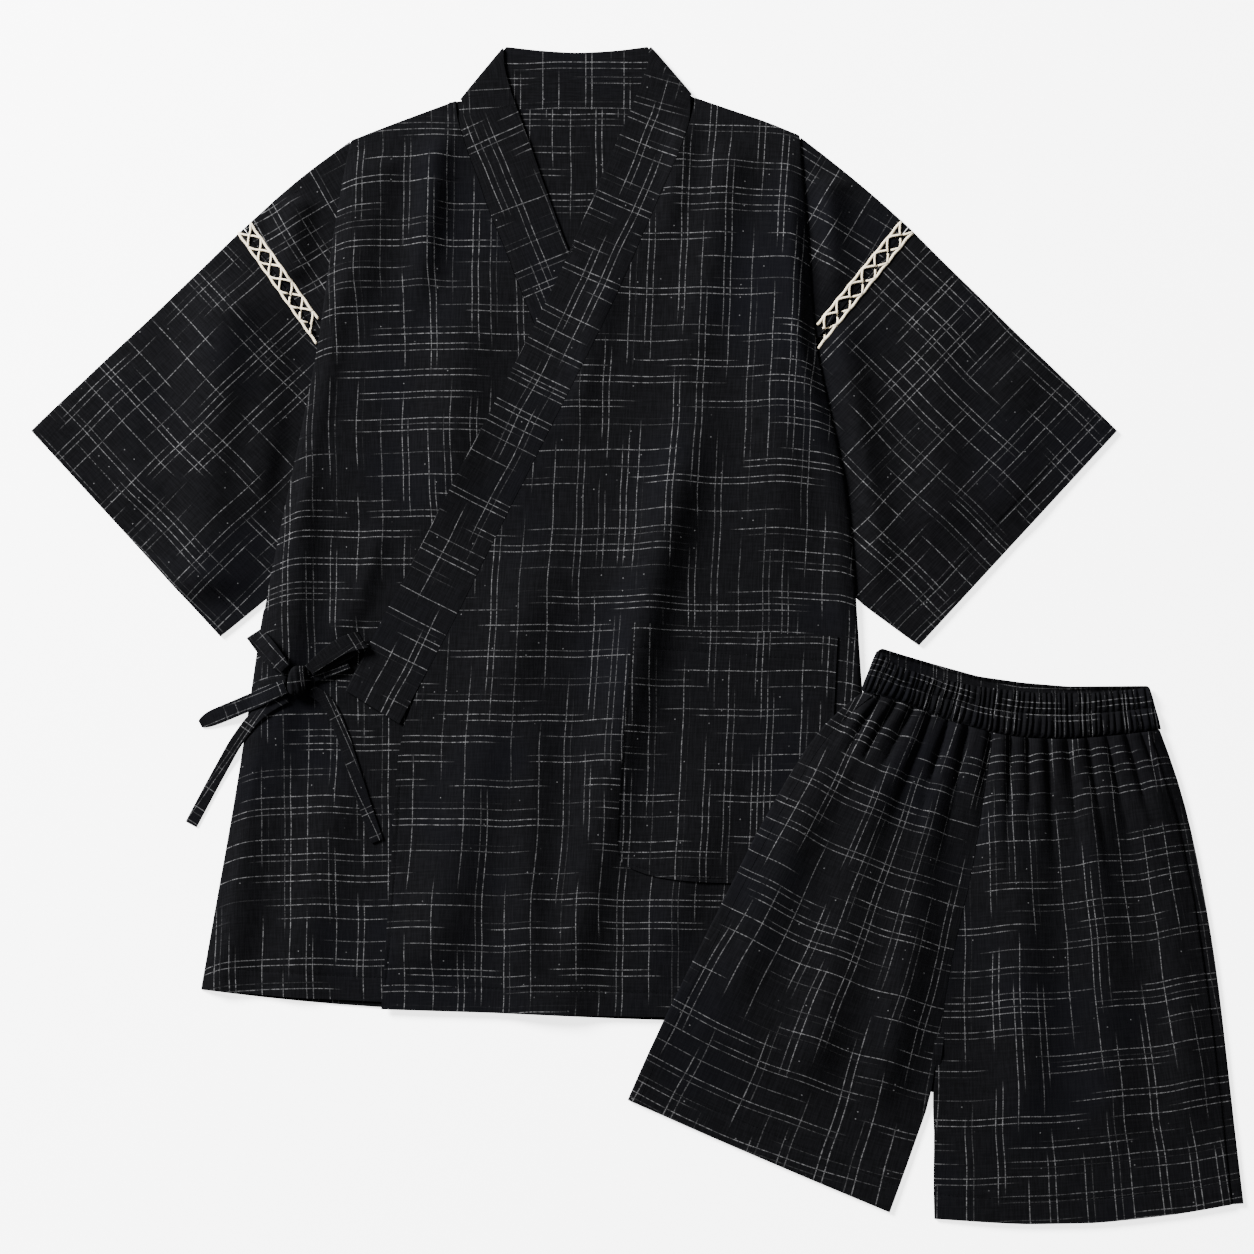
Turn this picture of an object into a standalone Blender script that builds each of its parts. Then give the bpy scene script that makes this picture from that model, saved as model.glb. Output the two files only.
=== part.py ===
"""A jinbei set laid flat: a wrap jacket with its bow tied, and shorts that lie on its corner.

Sizes are in millimetres and become metres in each mesh. +X points to the viewer's right, +Y to the
collar and +Z up from the surface that the set lies on. Right and left in names are the wearer's own,
so front_right lies on the viewer's left.
"""
import math
from collections import namedtuple

import bmesh
import bpy

# Driving sizes, in millimetres
MM = 0.001
CLOTH = 1.2          # wall of one cloth
BAND_CLOTH = 1.6     # the collar is doubled cloth
TAPE_CLOTH = 1.4     # ties are narrow folded tapes
SEAM = 0.3           # gap between sewn pieces
SEAM_X = 0.36        # the same gap, measured along X across a slanted seam
CENTRE_X = 0.0       # middle of the whole set, taken to the origin
CENTRE_Y = 1.0

# Height of the underside of each layer over the surface
LAYER_BACK = 0.0
LAYER_UNDER = 2.0    # the underlap, and the upper layer of sleeve and shoulder
LAYER_OVER = 4.4     # the overlap
OVER_SLEEVE = 2.2    # how much the underlap climbs to cross the sleeve
EDGE_GAP = 0.4       # air under a soft edge that lies on the next cloth
PUFF = 0.9           # a folded edge stands this much prouder than its panel
PUFF_REACH = 25.0
LIP = 5.0            # the folded edge rounds down within this width
ARMPIT_LOW = -25.0   # the sleeve's thickness fades out under the front between these heights of Y
ARMPIT_HIGH = 22.0
SLEEVE_STEP = (34.0, 95.0)    # the underlap comes down off the sleeve at this distance from its fold
SHOULDER_STEP = (12.0, 45.0)  # and both fronts off the shoulder, down to the seam with the back
NECK_LIFT = 0.7      # the underlap's band rises this much on its way to the neck corner

# Shorts
JACKET_RISE = 8.2    # the shorts climb this high to lie on the jacket
RISE_START = 60.0    # where the climb begins, outside the jacket's edge
RISE_END = 4.0
LEG_AIR = 2.1        # from the underside of the back to the underside of the front
LEG_COLUMNS = 18
WAIST_GATHERS_FRONT = 52
WAIST_GATHERS_BACK = 46
WAIST_AIR = 2.8      # from the middle of the back band to the middle of the front band
WAIST_HALF = 0.75
WAIST_PUFF = 1.0
WAIST_FOLD = 0.55
LEG_GATHER_HEIGHT = 2.6
LEG_GATHER_REACH = 95.0
SIDE_WRAP = 9.0      # the back leg comes round to the front by this much
WRAP_FLAT = 2.6      # and lies flat from here on, in from the outline
CENTRE_SEAM_DIP = 0.5
WAIST_END_BULGE = 0.6

LACE_WIDTH = 14.0
LACE_MARGIN = 0.8    # plain braid beyond the first and the last crossing
LACE_THREAD = 1.9
LACE_RAIL = 1.9
LACE_CLOTH = 1.2
LACE_CROSSINGS = 7

# Tables of outlines. Each row is a station of the piece, and its columns are named.
Station = namedtuple("Station", "top_x top_y low_x low_y")
Band = namedtuple("Band", "inner_x inner_y outer_x outer_y")
Tape = namedtuple("Tape", "x y width z")

# Sleeves from the cuff to the lace: the fold on top, and the seam or armhole edge below
SLEEVE_RIGHT = [
    Station(-474, 161, -326, 0),
    Station(-461, 174, -312, 11),
    Station(-435, 198, -292, 28),
    Station(-411, 221, -271, 44),
    Station(-388, 242, -259, 69),
    Station(-366, 263, -249, 100),
    Station(-344, 284, -241, 131),
    Station(-325, 303, -232, 163),
    Station(-308, 319, -224, 200),
]
SLEEVE_LEFT = [
    Station(375, 161, 220, -7),
    Station(362, 174, 207, 2),
    Station(337, 198, 187, 17),
    Station(313, 221, 167, 31),
    Station(290, 243, 150, 58),
    Station(268, 265, 141, 92),
    Station(246, 286, 131, 128),
    Station(228, 304, 120, 162),
    Station(212, 320, 116, 202),
]
# Dropped shoulders from the lace to the body
SHOULDER_RIGHT = [
    Station(-307.7, 319.3, -223.7, 200.3),
    Station(-297, 329, -219, 228),
    Station(-285, 340, -216, 255),
    Station(-267, 356, -213, 295),
    Station(-246, 372, -215, 335),
    Station(-225, 387, -217, 367),
]
SHOULDER_LEFT = [
    Station(211.7, 320.3, 115.7, 202.3),
    Station(202, 329, 110, 228),
    Station(189, 341, 106, 255),
    Station(170, 357, 107, 295),
    Station(149, 374, 112, 335),
    Station(128, 390, 119, 368),
]

# The soft folds at the body's sides, from the shoulder to the hem
FOLD_RIGHT = [
    (-224, 387), (-229, 364), (-237, 317), (-244, 270), (-249, 227), (-259, 177), (-271, 122),
    (-283, 67), (-293, 17), (-298, -18), (-305, -65), (-312, -112), (-320, -159), (-329, -206),
    (-337, -252), (-341, -275),
]
FOLD_LEFT = [
    (127, 391), (129, 364), (133, 317), (136, 270), (138, 227), (150, 177), (164, 122),
    (168, 75), (171, 28), (175, -42), (181, -112), (189, -182), (197, -245), (203, -287),
]
SHOULDER_LINE_RIGHT = [(-224, 387), (-184, 403), (-142, 418.5)]
SHOULDER_LINE_LEFT = [(45, 421), (98, 403), (127, 391)]

# The collar from the underlap's hidden end to the neck, across the back, and down the overlap
BAND_RIGHT = [
    Band(97, -47, 54, -68), Band(60, 41, 17, 20), Band(23, 126, -20, 105), Band(-12, 206, -55, 185),
    Band(-42, 273, -84, 252), Band(-58, 311, -98, 289), Band(-66, 334, -106, 310),
    Band(-75, 358, -117, 334), Band(-83, 382, -124, 358), Band(-91, 404, -131, 374),
    Band(-99, 425, -136, 390), Band(-105, 447, -141, 405),
]
NECK_CORNER_RIGHT = Band(-106, 460, -139, 420)
BAND_BACK = [
    Band(-103, 461, -125, 413), Band(-94, 460, -108, 412), Band(-78, 458, -86, 412),
    Band(-62, 457, -66, 412), Band(-47, 456, -47, 412), Band(-30, 457, -27, 412),
    Band(-14, 458, -8, 412), Band(0, 460, 14, 413), Band(8, 461, 30, 415),
]
NECK_CORNER_LEFT = Band(11, 461, 43, 424)
BAND_LEFT = [
    Band(9, 447, 42, 407), Band(-2, 420, 37, 390), Band(-11, 397, 32, 377), Band(-21, 376, 23, 357),
    Band(-40, 332, 3, 312), Band(-59, 286, -16, 266), Band(-81, 242, -38, 222),
    Band(-106, 193, -63, 173), Band(-132, 143, -88, 123), Band(-157, 94, -114, 72),
    Band(-183, 44, -139, 20), Band(-206, 1, -161, -21), Band(-228, -42, -186, -68),
]
FRONT_EDGE_RIGHT = [(56, -140), (59, -215), (61, -297)]
FRONT_EDGE_LEFT = [(-189, -120), (-192, -175), (-196, -232), (-200, -291)]

HEM_FRONT_RIGHT = [(-341, -275), (-300, -280), (-232, -284), (-140, -288), (-40, -294), (61, -297)]
HEM_FRONT_LEFT = [(-200, -291), (-107, -294), (-29, -296), (60, -298), (140, -295), (203, -287)]
HEM_BACK = [
    (-341, -276), (-294, -282), (-232, -288), (-180, -291), (-120, -294), (-60, -297), (-10, -299),
    (40, -301), (80, -300), (120, -298), (165, -294), (205, -289),
]
NECK_AND_SHOULDERS_BACK = [
    (-221, 388), (-184, 402.5), (-143, 416), (-125, 412.3), (-107, 411.5), (-47, 411.5),
    (-8, 411.5), (14, 412.4), (30, 414.3), (46, 418), (86, 406), (124, 390),
]
SIDE_BACK_RIGHT = [(-294, 14), (-305, -65), (-316, -135), (-329, -206), (-341, -276)]
SIDE_BACK_LEFT = [(172, 14), (177, -65), (184, -135), (193, -206), (205, -289)]

POCKET_TOP = [(-4, 11), (36, 8), (76, 5), (116, 2), (156, 0)]
POCKET_LEFT = [(-4, 11), (-7, -33), (-11, -77), (-14, -121), (-17, -165)]
POCKET_RIGHT = [(156, 0), (154, -42), (152, -84), (150, -126), (147, -168)]
POCKET_BOTTOM = [
    (-17, -165), (-15, -175), (-4, -182), (14, -188), (43, -191), (75, -193), (110, -192),
    (130, -188), (141, -181), (146, -175), (147, -168),
]

# Shorts
CENTRE_SEAM = [(277, -75), (272, -110), (267, -148), (259, -197), (244, -252), (236, -310), (229, -362)]
INSEAM_RIGHT = [(222, -380), (211, -412), (197, -450)]
INSEAM_LEFT = [(232.5, -385), (231, -420), (232, -455)]
OUTLINE_RIGHT = [
    (175, -43), (160, -54), (143, -67), (129, -88), (117, -110), (105, -128), (70, -198), (35, -268),
    (12, -315), (-8, -362),
]
OUTLINE_LEFT = [
    (408, -73), (418, -96), (428, -128), (435, -159), (441, -190), (447, -221), (454, -268),
    (461, -330), (468, -393), (474, -443),
]
HEM_RIGHT = [(130, -422), (60, -392)]
HEM_LEFT = [(298, -459), (361, -458), (423, -451)]

WAIST_LOW = [
    (176, -42.6), (192, -46.6), (212, -53.6), (240, -64.6), (277, -74.6), (301, -78.6),
    (337, -79.6), (372, -76.6), (407, -72.6),
]
WAIST_TOP_FRONT = [(188, -12), (202, -23), (230, -32), (266, -39), (310, -44), (355, -44), (398, -40)]
WAIST_TOP_BACK = [(190, -9), (206, -14), (230, -21), (266, -31), (301, -36), (337, -39), (398, -38.5)]

# Tapes of the bow, with the height of the middle of the cloth
TIE_SIDE = [Tape(-296, -40, 11, 6.0), Tape(-285, -38, 11, 6.1), Tape(-273.5, -36, 11, 6.3)]
TIE_COLLAR = [Tape(-226, -20, 11, 7.3), Tape(-240, -26, 11, 6.9), Tape(-255.5, -31, 11, 6.6)]
LOOP_RIGHT_LOW = [Tape(-255, -27, 8, 8.6), Tape(-242, -20, 12, 8.7), Tape(-228, -12, 14, 9.0)]
LOOP_RIGHT_END = Tape(-213, -2, 15, 10.6)
LOOP_RIGHT_TOP = [Tape(-226, -5, 14, 12.4), Tape(-240, -13, 13, 12.8), Tape(-255.5, -26, 9, 12.0)]
LOOP_LEFT_LOW = [Tape(-272.5, -27, 8, 8.0), Tape(-282, -19, 12, 8.0), Tape(-290, -11, 13, 8.2)]
LOOP_LEFT_END = Tape(-299, 3, 14, 9.8)
LOOP_LEFT_TOP = [Tape(-291, -4, 13, 11.6), Tape(-283, -13, 12, 12.0), Tape(-273.5, -25, 9, 11.4)]
TAIL_SHORT = [
    Tape(-274, -39, 11, 8.8), Tape(-286, -44, 13, 8.8), Tape(-299, -50, 13, 7.9),
    Tape(-311, -55, 13, 5.8), Tape(-323, -60, 13, 2.8), Tape(-333, -64, 13, 1.4),
    Tape(-339, -67, 10, 0.7), Tape(-342, -68.5, 6, 0.7),
]
TAIL_LONG = [
    Tape(-273, -47, 9, 5.6), Tape(-286, -53, 10, 6.0), Tape(-298, -62, 10, 5.8),
    Tape(-307, -73, 10, 5.2), Tape(-316, -86, 10, 3.2), Tape(-323, -99, 10, 1.3),
    Tape(-331, -113, 10, 0.7), Tape(-340, -130, 10, 0.7), Tape(-349, -147, 10, 0.7),
]
TAIL_RIGHT = [
    Tape(-255, -42, 9, 7.0), Tape(-247, -46, 10, 6.0), Tape(-240, -54, 10, 4.8),
    Tape(-233, -68, 10, 4.5), Tape(-226, -90, 10, 4.5), Tape(-217, -118, 10, 4.5),
    Tape(-210, -140, 10, 4.5), Tape(-203, -160, 10, 4.5),
]
KNOT_CENTRE = (-264.5, -34.0, 9.3)
KNOT_HALF = (8.2, 11.5, 4.9)
KNOT_RINGS = (-78, -50, -18, 18, 50, 78)   # degrees along the knot
KNOT_LEAN = 1.5
KNOT_END_POWER = 0.45                      # under 1 makes the block squarer
KNOT_SIDE_POWER = 0.8

BLACK_CLOTH = (0.010, 0.010, 0.011, 1.0)
CREAM_BRAID = (0.80, 0.76, 0.64, 1.0)


# Plain helpers for numbers and points
def mix(start, end, share):
    return start + (end - start) * share


def ease(low, high, value):
    """0 up to low, 1 from high on, and a soft S between them."""
    share = min(max((value - low) / (high - low), 0.0), 1.0)
    return share * share * (3.0 - 2.0 * share)


def lengths_along(line):
    """The distance of each point of a line from its start."""
    marks = [0.0]
    for first, second in zip(line, line[1:]):
        marks.append(marks[-1] + math.dist(first, second))
    return marks


def point_at(line, distance):
    """The point of a line that lies this far along it."""
    marks = lengths_along(line)
    distance = min(max(distance, 0.0), marks[-1])
    for number in range(len(line) - 1):
        if distance <= marks[number + 1]:
            share = (distance - marks[number]) / (marks[number + 1] - marks[number])
            first = line[number]
            second = line[number + 1]
            return (mix(first[0], second[0], share), mix(first[1], second[1], share))
    return line[-1]


def stations(line, count, near_start=(), near_end=()):
    """Points spread evenly along a line, with some set close to its ends."""
    total = lengths_along(line)[-1]
    start = near_start[-1] if near_start else 0.0
    end = total - (near_end[0] if near_end else 0.0)
    steps = count - 1 - len(near_start) - len(near_end)
    marks = [0.0] + list(near_start[:-1]) if near_start else []
    marks += [mix(start, end, step / steps) for step in range(steps + 1)]
    marks += [total - mark for mark in near_end[1:]] + [total] if near_end else []
    return [point_at(line, mark) for mark in marks]


def x_at(line, y):
    """Where a line that runs downwards passes this height."""
    for first, second in zip(line, line[1:]):
        if y >= second[1]:
            break
    share = (first[1] - y) / (first[1] - second[1])
    return mix(first[0], second[0], min(max(share, 0.0), 1.0))


def shares_along(line):
    marks = lengths_along(line)
    return [mark / marks[-1] for mark in marks]


def matched(line, other):
    """Points of a line at the same shares of its length as another line's points."""
    total = lengths_along(line)[-1]
    return [point_at(line, share * total) for share in shares_along(other)]


def panel_grid(left, right, top, bottom):
    """Fill four edges with rows of points, so that every edge is followed."""
    down = [(a + b) / 2 for a, b in zip(shares_along(left), shares_along(right))]
    across = [(a + b) / 2 for a, b in zip(shares_along(top), shares_along(bottom))]
    grid = []
    for row, v in enumerate(down):
        line = []
        for column, u in enumerate(across):
            point = []
            for axis in (0, 1):
                rails = mix(left[row][axis], right[row][axis], u)
                ends = mix(top[column][axis], bottom[column][axis], v)
                corners = mix(mix(left[0][axis], right[0][axis], u),
                              mix(left[-1][axis], right[-1][axis], u), v)
                point.append(rails + ends - corners)
            line.append(tuple(point))
        grid.append(line)
    return grid


# Samples of a cloth: a point in its middle, the way its face looks, and its wall each way
Sample = namedtuple("Sample", "point normal outside inside")


def lying(x, y, underside, wall=CLOTH):
    """Cloth that lies face up."""
    return Sample((x, y, underside + wall / 2), (0.0, 0.0, 1.0), wall / 2, wall / 2)


def face_down(x, y, underside, wall=CLOTH):
    """Cloth that lies face down, as the lower layer of a folded piece does."""
    return Sample((x, y, underside + wall / 2), (0.0, 0.0, -1.0), wall / 2, wall / 2)


def bend(edge, outward, low, high, angles, wall=CLOTH):
    """A half turn of cloth at a fold, between two layers whose middles are at low and high."""
    radius = (high - low) / 2
    reach = radius + wall / 2
    samples = []
    for degrees in angles:
        angle = math.radians(degrees)
        away = radius * math.cos(angle) - reach
        point = (edge[0] + outward[0] * away, edge[1] + outward[1] * away,
                 (low + high) / 2 + radius * math.sin(angle))
        normal = (outward[0] * math.cos(angle), outward[1] * math.cos(angle), math.sin(angle))
        samples.append(Sample(point, normal, wall / 2, wall / 2))
    return samples


def heading(start, end):
    """The level unit vector from one point to another."""
    length = math.dist(start, end)
    return ((end[0] - start[0]) / length, (end[1] - start[1]) / length)


# Building
def clear_scene():
    for thing in list(bpy.data.objects):
        bpy.data.objects.remove(thing, do_unlink=True)


def make_material(name, colour, roughness):
    material = bpy.data.materials.new(name)
    material.use_nodes = True
    shader = material.node_tree.nodes["Principled BSDF"]
    shader.inputs["Base Color"].default_value = colour
    shader.inputs["Roughness"].default_value = roughness
    shader.inputs["Metallic"].default_value = 0.0
    material.diffuse_color = colour
    return material


def add_object(name, points, faces, colour=BLACK_CLOTH, roughness=0.85):
    """Make one closed solid from points in millimetres."""
    mesh = bpy.data.meshes.new(name)
    shifted = [((x - CENTRE_X) * MM, (y - CENTRE_Y) * MM, z * MM) for x, y, z in points]
    mesh.from_pydata(shifted, [], faces)
    form = bmesh.new()
    form.from_mesh(mesh)
    bmesh.ops.recalc_face_normals(form, faces=form.faces)
    form.to_mesh(mesh)
    form.free()
    mesh.shade_smooth()
    mesh.set_sharp_from_angle(angle=math.radians(40))
    mesh.materials.append(make_material(name, colour, roughness))
    piece = bpy.data.objects.new(name, mesh)
    bpy.context.scene.collection.objects.link(piece)
    return piece


def add_cloth(name, rows, ring=False):
    """Give rows of samples a wall and close its rims. A ring joins its last row to its first."""
    wide = len(rows[0])
    count = len(rows)
    points = []
    for side in (1, -1):
        for row in rows:
            for sample in row:
                reach = sample.outside if side == 1 else -sample.inside
                points.append(tuple(c + n * reach for c, n in zip(sample.point, sample.normal)))
    under = wide * count
    faces = []
    for row in range(count if ring else count - 1):
        after = (row + 1) % count
        for column in range(wide - 1):
            a = row * wide + column
            b = after * wide + column
            faces.append((a, a + 1, b + 1, b))
            faces.append((under + a, under + b, under + b + 1, under + a + 1))
        for column in (0, wide - 1):
            a = row * wide + column
            b = after * wide + column
            faces.append((a, b, under + b, under + a))
    if not ring:
        for row in (0, count - 1):
            for column in range(wide - 1):
                a = row * wide + column
                faces.append((a, a + 1, under + a + 1, under + a))
    return add_object(name, points, faces)


# Jacket
def over_armhole(y):
    """1 beside the sleeve, where the front lies on it, and 0 below the armpit."""
    return ease(ARMPIT_LOW, ARMPIT_HIGH, y)


def soft_edge(inside_height, y, distance):
    """Round a folded edge down onto the cloth below it."""
    below = mix(CLOTH, LAYER_UNDER + CLOTH, over_armhole(y)) + EDGE_GAP
    share = min(distance / LIP, 1.0)
    return mix(below, inside_height, math.sqrt(1.0 - (1.0 - share) ** 2))


def front_right_height(y, distance):
    """Underside of the underlap at a point this far from its fold."""
    climb = OVER_SLEEVE * over_armhole(y) * (1.0 - ease(*SLEEVE_STEP, distance))
    height = LAYER_UNDER + climb + PUFF * math.exp(-distance / PUFF_REACH)
    return soft_edge(height, y, distance)


def front_left_height(y, distance):
    """Underside of the overlap at a point this far from its fold."""
    height = LAYER_OVER + PUFF * math.exp(-distance / PUFF_REACH)
    return soft_edge(height, y, distance)


def shoulder_drop(height, distance):
    """Underside of a front along the shoulder seam, this far from the fold."""
    seam = CLOTH + SEAM
    over_cap = LAYER_UNDER + CLOTH + EDGE_GAP
    return min(height, mix(over_cap, seam, ease(*SHOULDER_STEP, distance)))


def make_back():
    right = [(row.low_x + SEAM_X, row.low_y) for row in reversed(SHOULDER_RIGHT)]
    right += [(row.low_x + SEAM_X, row.low_y - SEAM) for row in reversed(SLEEVE_RIGHT[2:-1])]
    left = [(row.low_x - SEAM_X, row.low_y) for row in reversed(SHOULDER_LEFT)]
    left += [(row.low_x - SEAM_X, row.low_y - SEAM) for row in reversed(SLEEVE_LEFT[3:-1])]
    left += [(171, 27)]
    right = [NECK_AND_SHOULDERS_BACK[0]] + right + SIDE_BACK_RIGHT
    left = [NECK_AND_SHOULDERS_BACK[-1]] + left + SIDE_BACK_LEFT
    grid = panel_grid(right, left, NECK_AND_SHOULDERS_BACK, HEM_BACK)
    add_cloth("back", [[lying(x, y, LAYER_BACK) for x, y in row] for row in grid])


def make_front(name, outline, height, fold_line):
    """A front panel from its four edges, with its height worked out from its soft fold."""
    grid = panel_grid(*outline)
    rows = []
    for number, row in enumerate(grid):
        samples = []
        for x, y in row:
            distance = abs(x - x_at(fold_line, y))
            underside = height(y, distance)
            if number == 0:
                underside = shoulder_drop(underside, distance)
            samples.append(lying(x, y, underside))
        rows.append(samples)
    add_cloth(name, rows)


def make_front_right():
    seam = [(NECK_CORNER_RIGHT.outer_x - 3, NECK_CORNER_RIGHT.outer_y - 1.5)]
    seam += [(row.outer_x - SEAM_X, row.outer_y) for row in reversed(BAND_RIGHT)]
    seam += FRONT_EDGE_RIGHT
    fold = matched(FOLD_RIGHT, seam)
    near = (1.2, 3.5, 9.0)
    top = stations(SHOULDER_LINE_RIGHT, 12, near_start=near)
    bottom = stations(HEM_FRONT_RIGHT, 12, near_start=near)
    make_front("front_right", (fold, seam, top, bottom), front_right_height, FOLD_RIGHT)


def make_front_left():
    seam = [(NECK_CORNER_LEFT.outer_x + 2, NECK_CORNER_LEFT.outer_y - 3)]
    seam += [(row.outer_x + SEAM_X, row.outer_y) for row in BAND_LEFT]
    seam += FRONT_EDGE_LEFT
    fold = matched(FOLD_LEFT, seam)
    near = (9.0, 3.5, 1.2)
    top = stations(SHOULDER_LINE_LEFT, 13, near_end=near)
    bottom = stations(HEM_FRONT_LEFT, 13, near_end=near)
    make_front("front_left", (seam, fold, top, bottom), front_left_height, FOLD_LEFT)


def make_folded_arm(name, table, seam_rows):
    """A sleeve or shoulder: one cloth folded over its top, its lower edges lying together."""
    rows = []
    low = LAYER_BACK + CLOTH / 2
    high = LAYER_UNDER + CLOTH / 2
    for number, station in enumerate(table):
        top = (station.top_x, station.top_y)
        edge = (station.low_x, station.low_y)
        width = math.dist(top, edge)
        outward = heading(edge, top)
        layer = [0.0, 0.03, 0.2, 0.4, 0.6, 0.8, 1.0 - 3.0 / width]
        under = []
        upper = []
        for share in layer:
            x = mix(edge[0], top[0], share)
            y = mix(edge[1], top[1], share)
            under.append(face_down(x, y, LAYER_BACK))
            closing = 1.0 - ease(0.0, 0.06, share) if number < seam_rows else 0.0
            height = mix(LAYER_UNDER, CLOTH + SEAM, closing)
            upper.append(lying(x, y, height))
        fold = bend(top, outward, low, high, (-60, 0, 60))
        rows.append(under + fold + upper[::-1])
    add_cloth(name, rows)


def band_row(band, height, turn=0.0, outward=(0.0, 0.0), wall=BAND_CLOTH):
    """One row across a band, with thinner rolled edges. turn is 0 face up and 180 face down."""
    angle = math.radians(turn)
    normal = (outward[0] * math.sin(angle), outward[1] * math.sin(angle), math.cos(angle))
    row = []
    for share, part in ((0.0, 0.6), (0.04, 1.0), (0.5, 1.0), (0.96, 1.0), (1.0, 0.6)):
        x = mix(band[0], band[2], share)
        y = mix(band[1], band[3], share)
        row.append(Sample((x, y, height), normal, wall / 2 * part, wall / 2 * part))
    return row


def corner_fold(corner, outward, low, high, angles):
    """The band turning over at a neck corner. The angle is the row's turn."""
    radius = (high - low) / 2
    reach = radius + BAND_CLOTH / 2
    rows = []
    for turn in angles:
        angle = math.radians(turn)
        away = radius * math.sin(angle) - reach
        moved = Band(corner.inner_x + outward[0] * away, corner.inner_y + outward[1] * away,
                     corner.outer_x + outward[0] * away, corner.outer_y + outward[1] * away)
        height = (low + high) / 2 + radius * math.cos(angle)
        rows.append(band_row(moved, height, turn, outward))
    return rows


def make_collar():
    back = BAND_CLOTH / 2
    under = LAYER_UNDER + BAND_CLOTH / 2
    over = LAYER_OVER + BAND_CLOTH / 2
    under_corner = under + NECK_LIFT
    turns = (0, 45, 90, 135, 180)
    left_way = (-0.77, 0.64)
    right_way = (0.75, 0.66)
    rows = []
    for number, band in enumerate(BAND_RIGHT):
        near = ease((len(BAND_RIGHT) - 1) / 2, len(BAND_RIGHT) - 1, number)
        rows.append(band_row(band, mix(under, under_corner, near)))
    rows += corner_fold(NECK_CORNER_RIGHT, left_way, back, under_corner, turns)
    for band in BAND_BACK:
        rows.append(band_row(band, back, 180.0))
    rows += corner_fold(NECK_CORNER_LEFT, right_way, back, over, turns[::-1])
    for band in BAND_LEFT:
        rows.append(band_row(band, over))
    add_cloth("collar", rows)


def make_pocket():
    top = stations(POCKET_TOP, len(POCKET_BOTTOM))
    grid = panel_grid(POCKET_LEFT, POCKET_RIGHT, top, POCKET_BOTTOM)
    rows = []
    for row in grid:
        samples = []
        for x, y in row:
            underside = front_left_height(y, x_at(FOLD_LEFT, y) - x) + CLOTH + SEAM
            samples.append(lying(x, y, underside))
        rows.append(samples)
    add_cloth("pocket", rows)


def make_lace(name, start, end, fold_cut):
    """A flat braid with diamonds and triangles cut through between two rails."""
    along = heading(start, end)
    across = (-along[1], along[0])
    length = math.dist(start, end)
    half = LACE_WIDTH / 2
    inner = half - LACE_RAIL
    pitch = (length - 2 * LACE_MARGIN) / LACE_CROSSINGS
    slope = half / (pitch / 2)
    thread = LACE_THREAD / 2 * math.hypot(1.0, slope)
    first = LACE_MARGIN + pitch / 2
    short_side = math.copysign(1.0, fold_cut)
    outlines = [[(0.0, -half), (length + fold_cut, -half), (length - fold_cut, half), (0.0, half)]]
    for number in range(LACE_CROSSINGS):
        crossing = first + number * pitch
        for side in (1, -1):
            if side == short_side and number == LACE_CROSSINGS - 1:
                continue
            tip = thread
            base = inner / slope - thread / slope
            outlines.append([(crossing, side * tip), (crossing - base, side * inner),
                             (crossing + base, side * inner)])
        if number < LACE_CROSSINGS - 1:
            centre = crossing + pitch / 2
            reach = pitch / 2 - thread / slope
            wide = min(half - thread, inner)
            short = reach * (1.0 - wide / (half - thread))
            diamond = [(centre - reach, 0.0), (centre - short, wide), (centre + short, wide),
                       (centre + reach, 0.0), (centre + short, -wide), (centre - short, -wide)]
            if short < 0.05:
                diamond = [diamond[0], diamond[1], diamond[3], diamond[4]]
            outlines.append(diamond)
    curve = bpy.data.curves.new(name, "CURVE")
    curve.dimensions = "2D"
    curve.fill_mode = "BOTH"
    curve.extrude = LACE_CLOTH / 2 * MM
    middle = LAYER_UNDER + CLOTH + SEAM + LACE_CLOTH / 2
    for outline in outlines:
        spline = curve.splines.new("POLY")
        spline.points.add(len(outline) - 1)
        spline.use_cyclic_u = True
        for point, (s, w) in zip(spline.points, outline):
            x = start[0] + along[0] * s + across[0] * w
            y = start[1] + along[1] * s + across[1] * w
            point.co = ((x - CENTRE_X) * MM, (y - CENTRE_Y) * MM, 0.0, 1.0)
    sketch = bpy.data.objects.new(name + "_sketch", curve)
    bpy.context.scene.collection.objects.link(sketch)
    bpy.context.view_layer.update()
    graph = bpy.context.evaluated_depsgraph_get()
    mesh = bpy.data.meshes.new_from_object(sketch.evaluated_get(graph))
    bpy.data.objects.remove(sketch, do_unlink=True)
    form = bmesh.new()
    form.from_mesh(mesh)
    bmesh.ops.remove_doubles(form, verts=form.verts, dist=0.00001)
    for vertex in form.verts:
        vertex.co.z += middle * MM
    bmesh.ops.recalc_face_normals(form, faces=form.faces)
    form.to_mesh(mesh)
    form.free()
    mesh.name = name
    mesh.materials.clear()
    mesh.materials.append(make_material(name, CREAM_BRAID, 0.8))
    piece = bpy.data.objects.new(name, mesh)
    bpy.context.scene.collection.objects.link(piece)


# Bow
def tape_row(tape, way, turn=0.0, outward=(0.0, 0.0)):
    """One row across a tape that runs along way."""
    half = tape.width / 2
    across = (-way[1] * half, way[0] * half)
    edge = (tape.x + across[0], tape.y + across[1], tape.x - across[0], tape.y - across[1])
    return band_row(edge, tape.z, turn, outward, TAPE_CLOTH)


def tape_rows(table, turn=0.0):
    rows = []
    for number, tape in enumerate(table):
        before = table[max(number - 1, 0)]
        after = table[min(number + 1, len(table) - 1)]
        way = heading((before.x, before.y), (after.x, after.y))
        rows.append(tape_row(tape, way, turn))
    return rows


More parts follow.
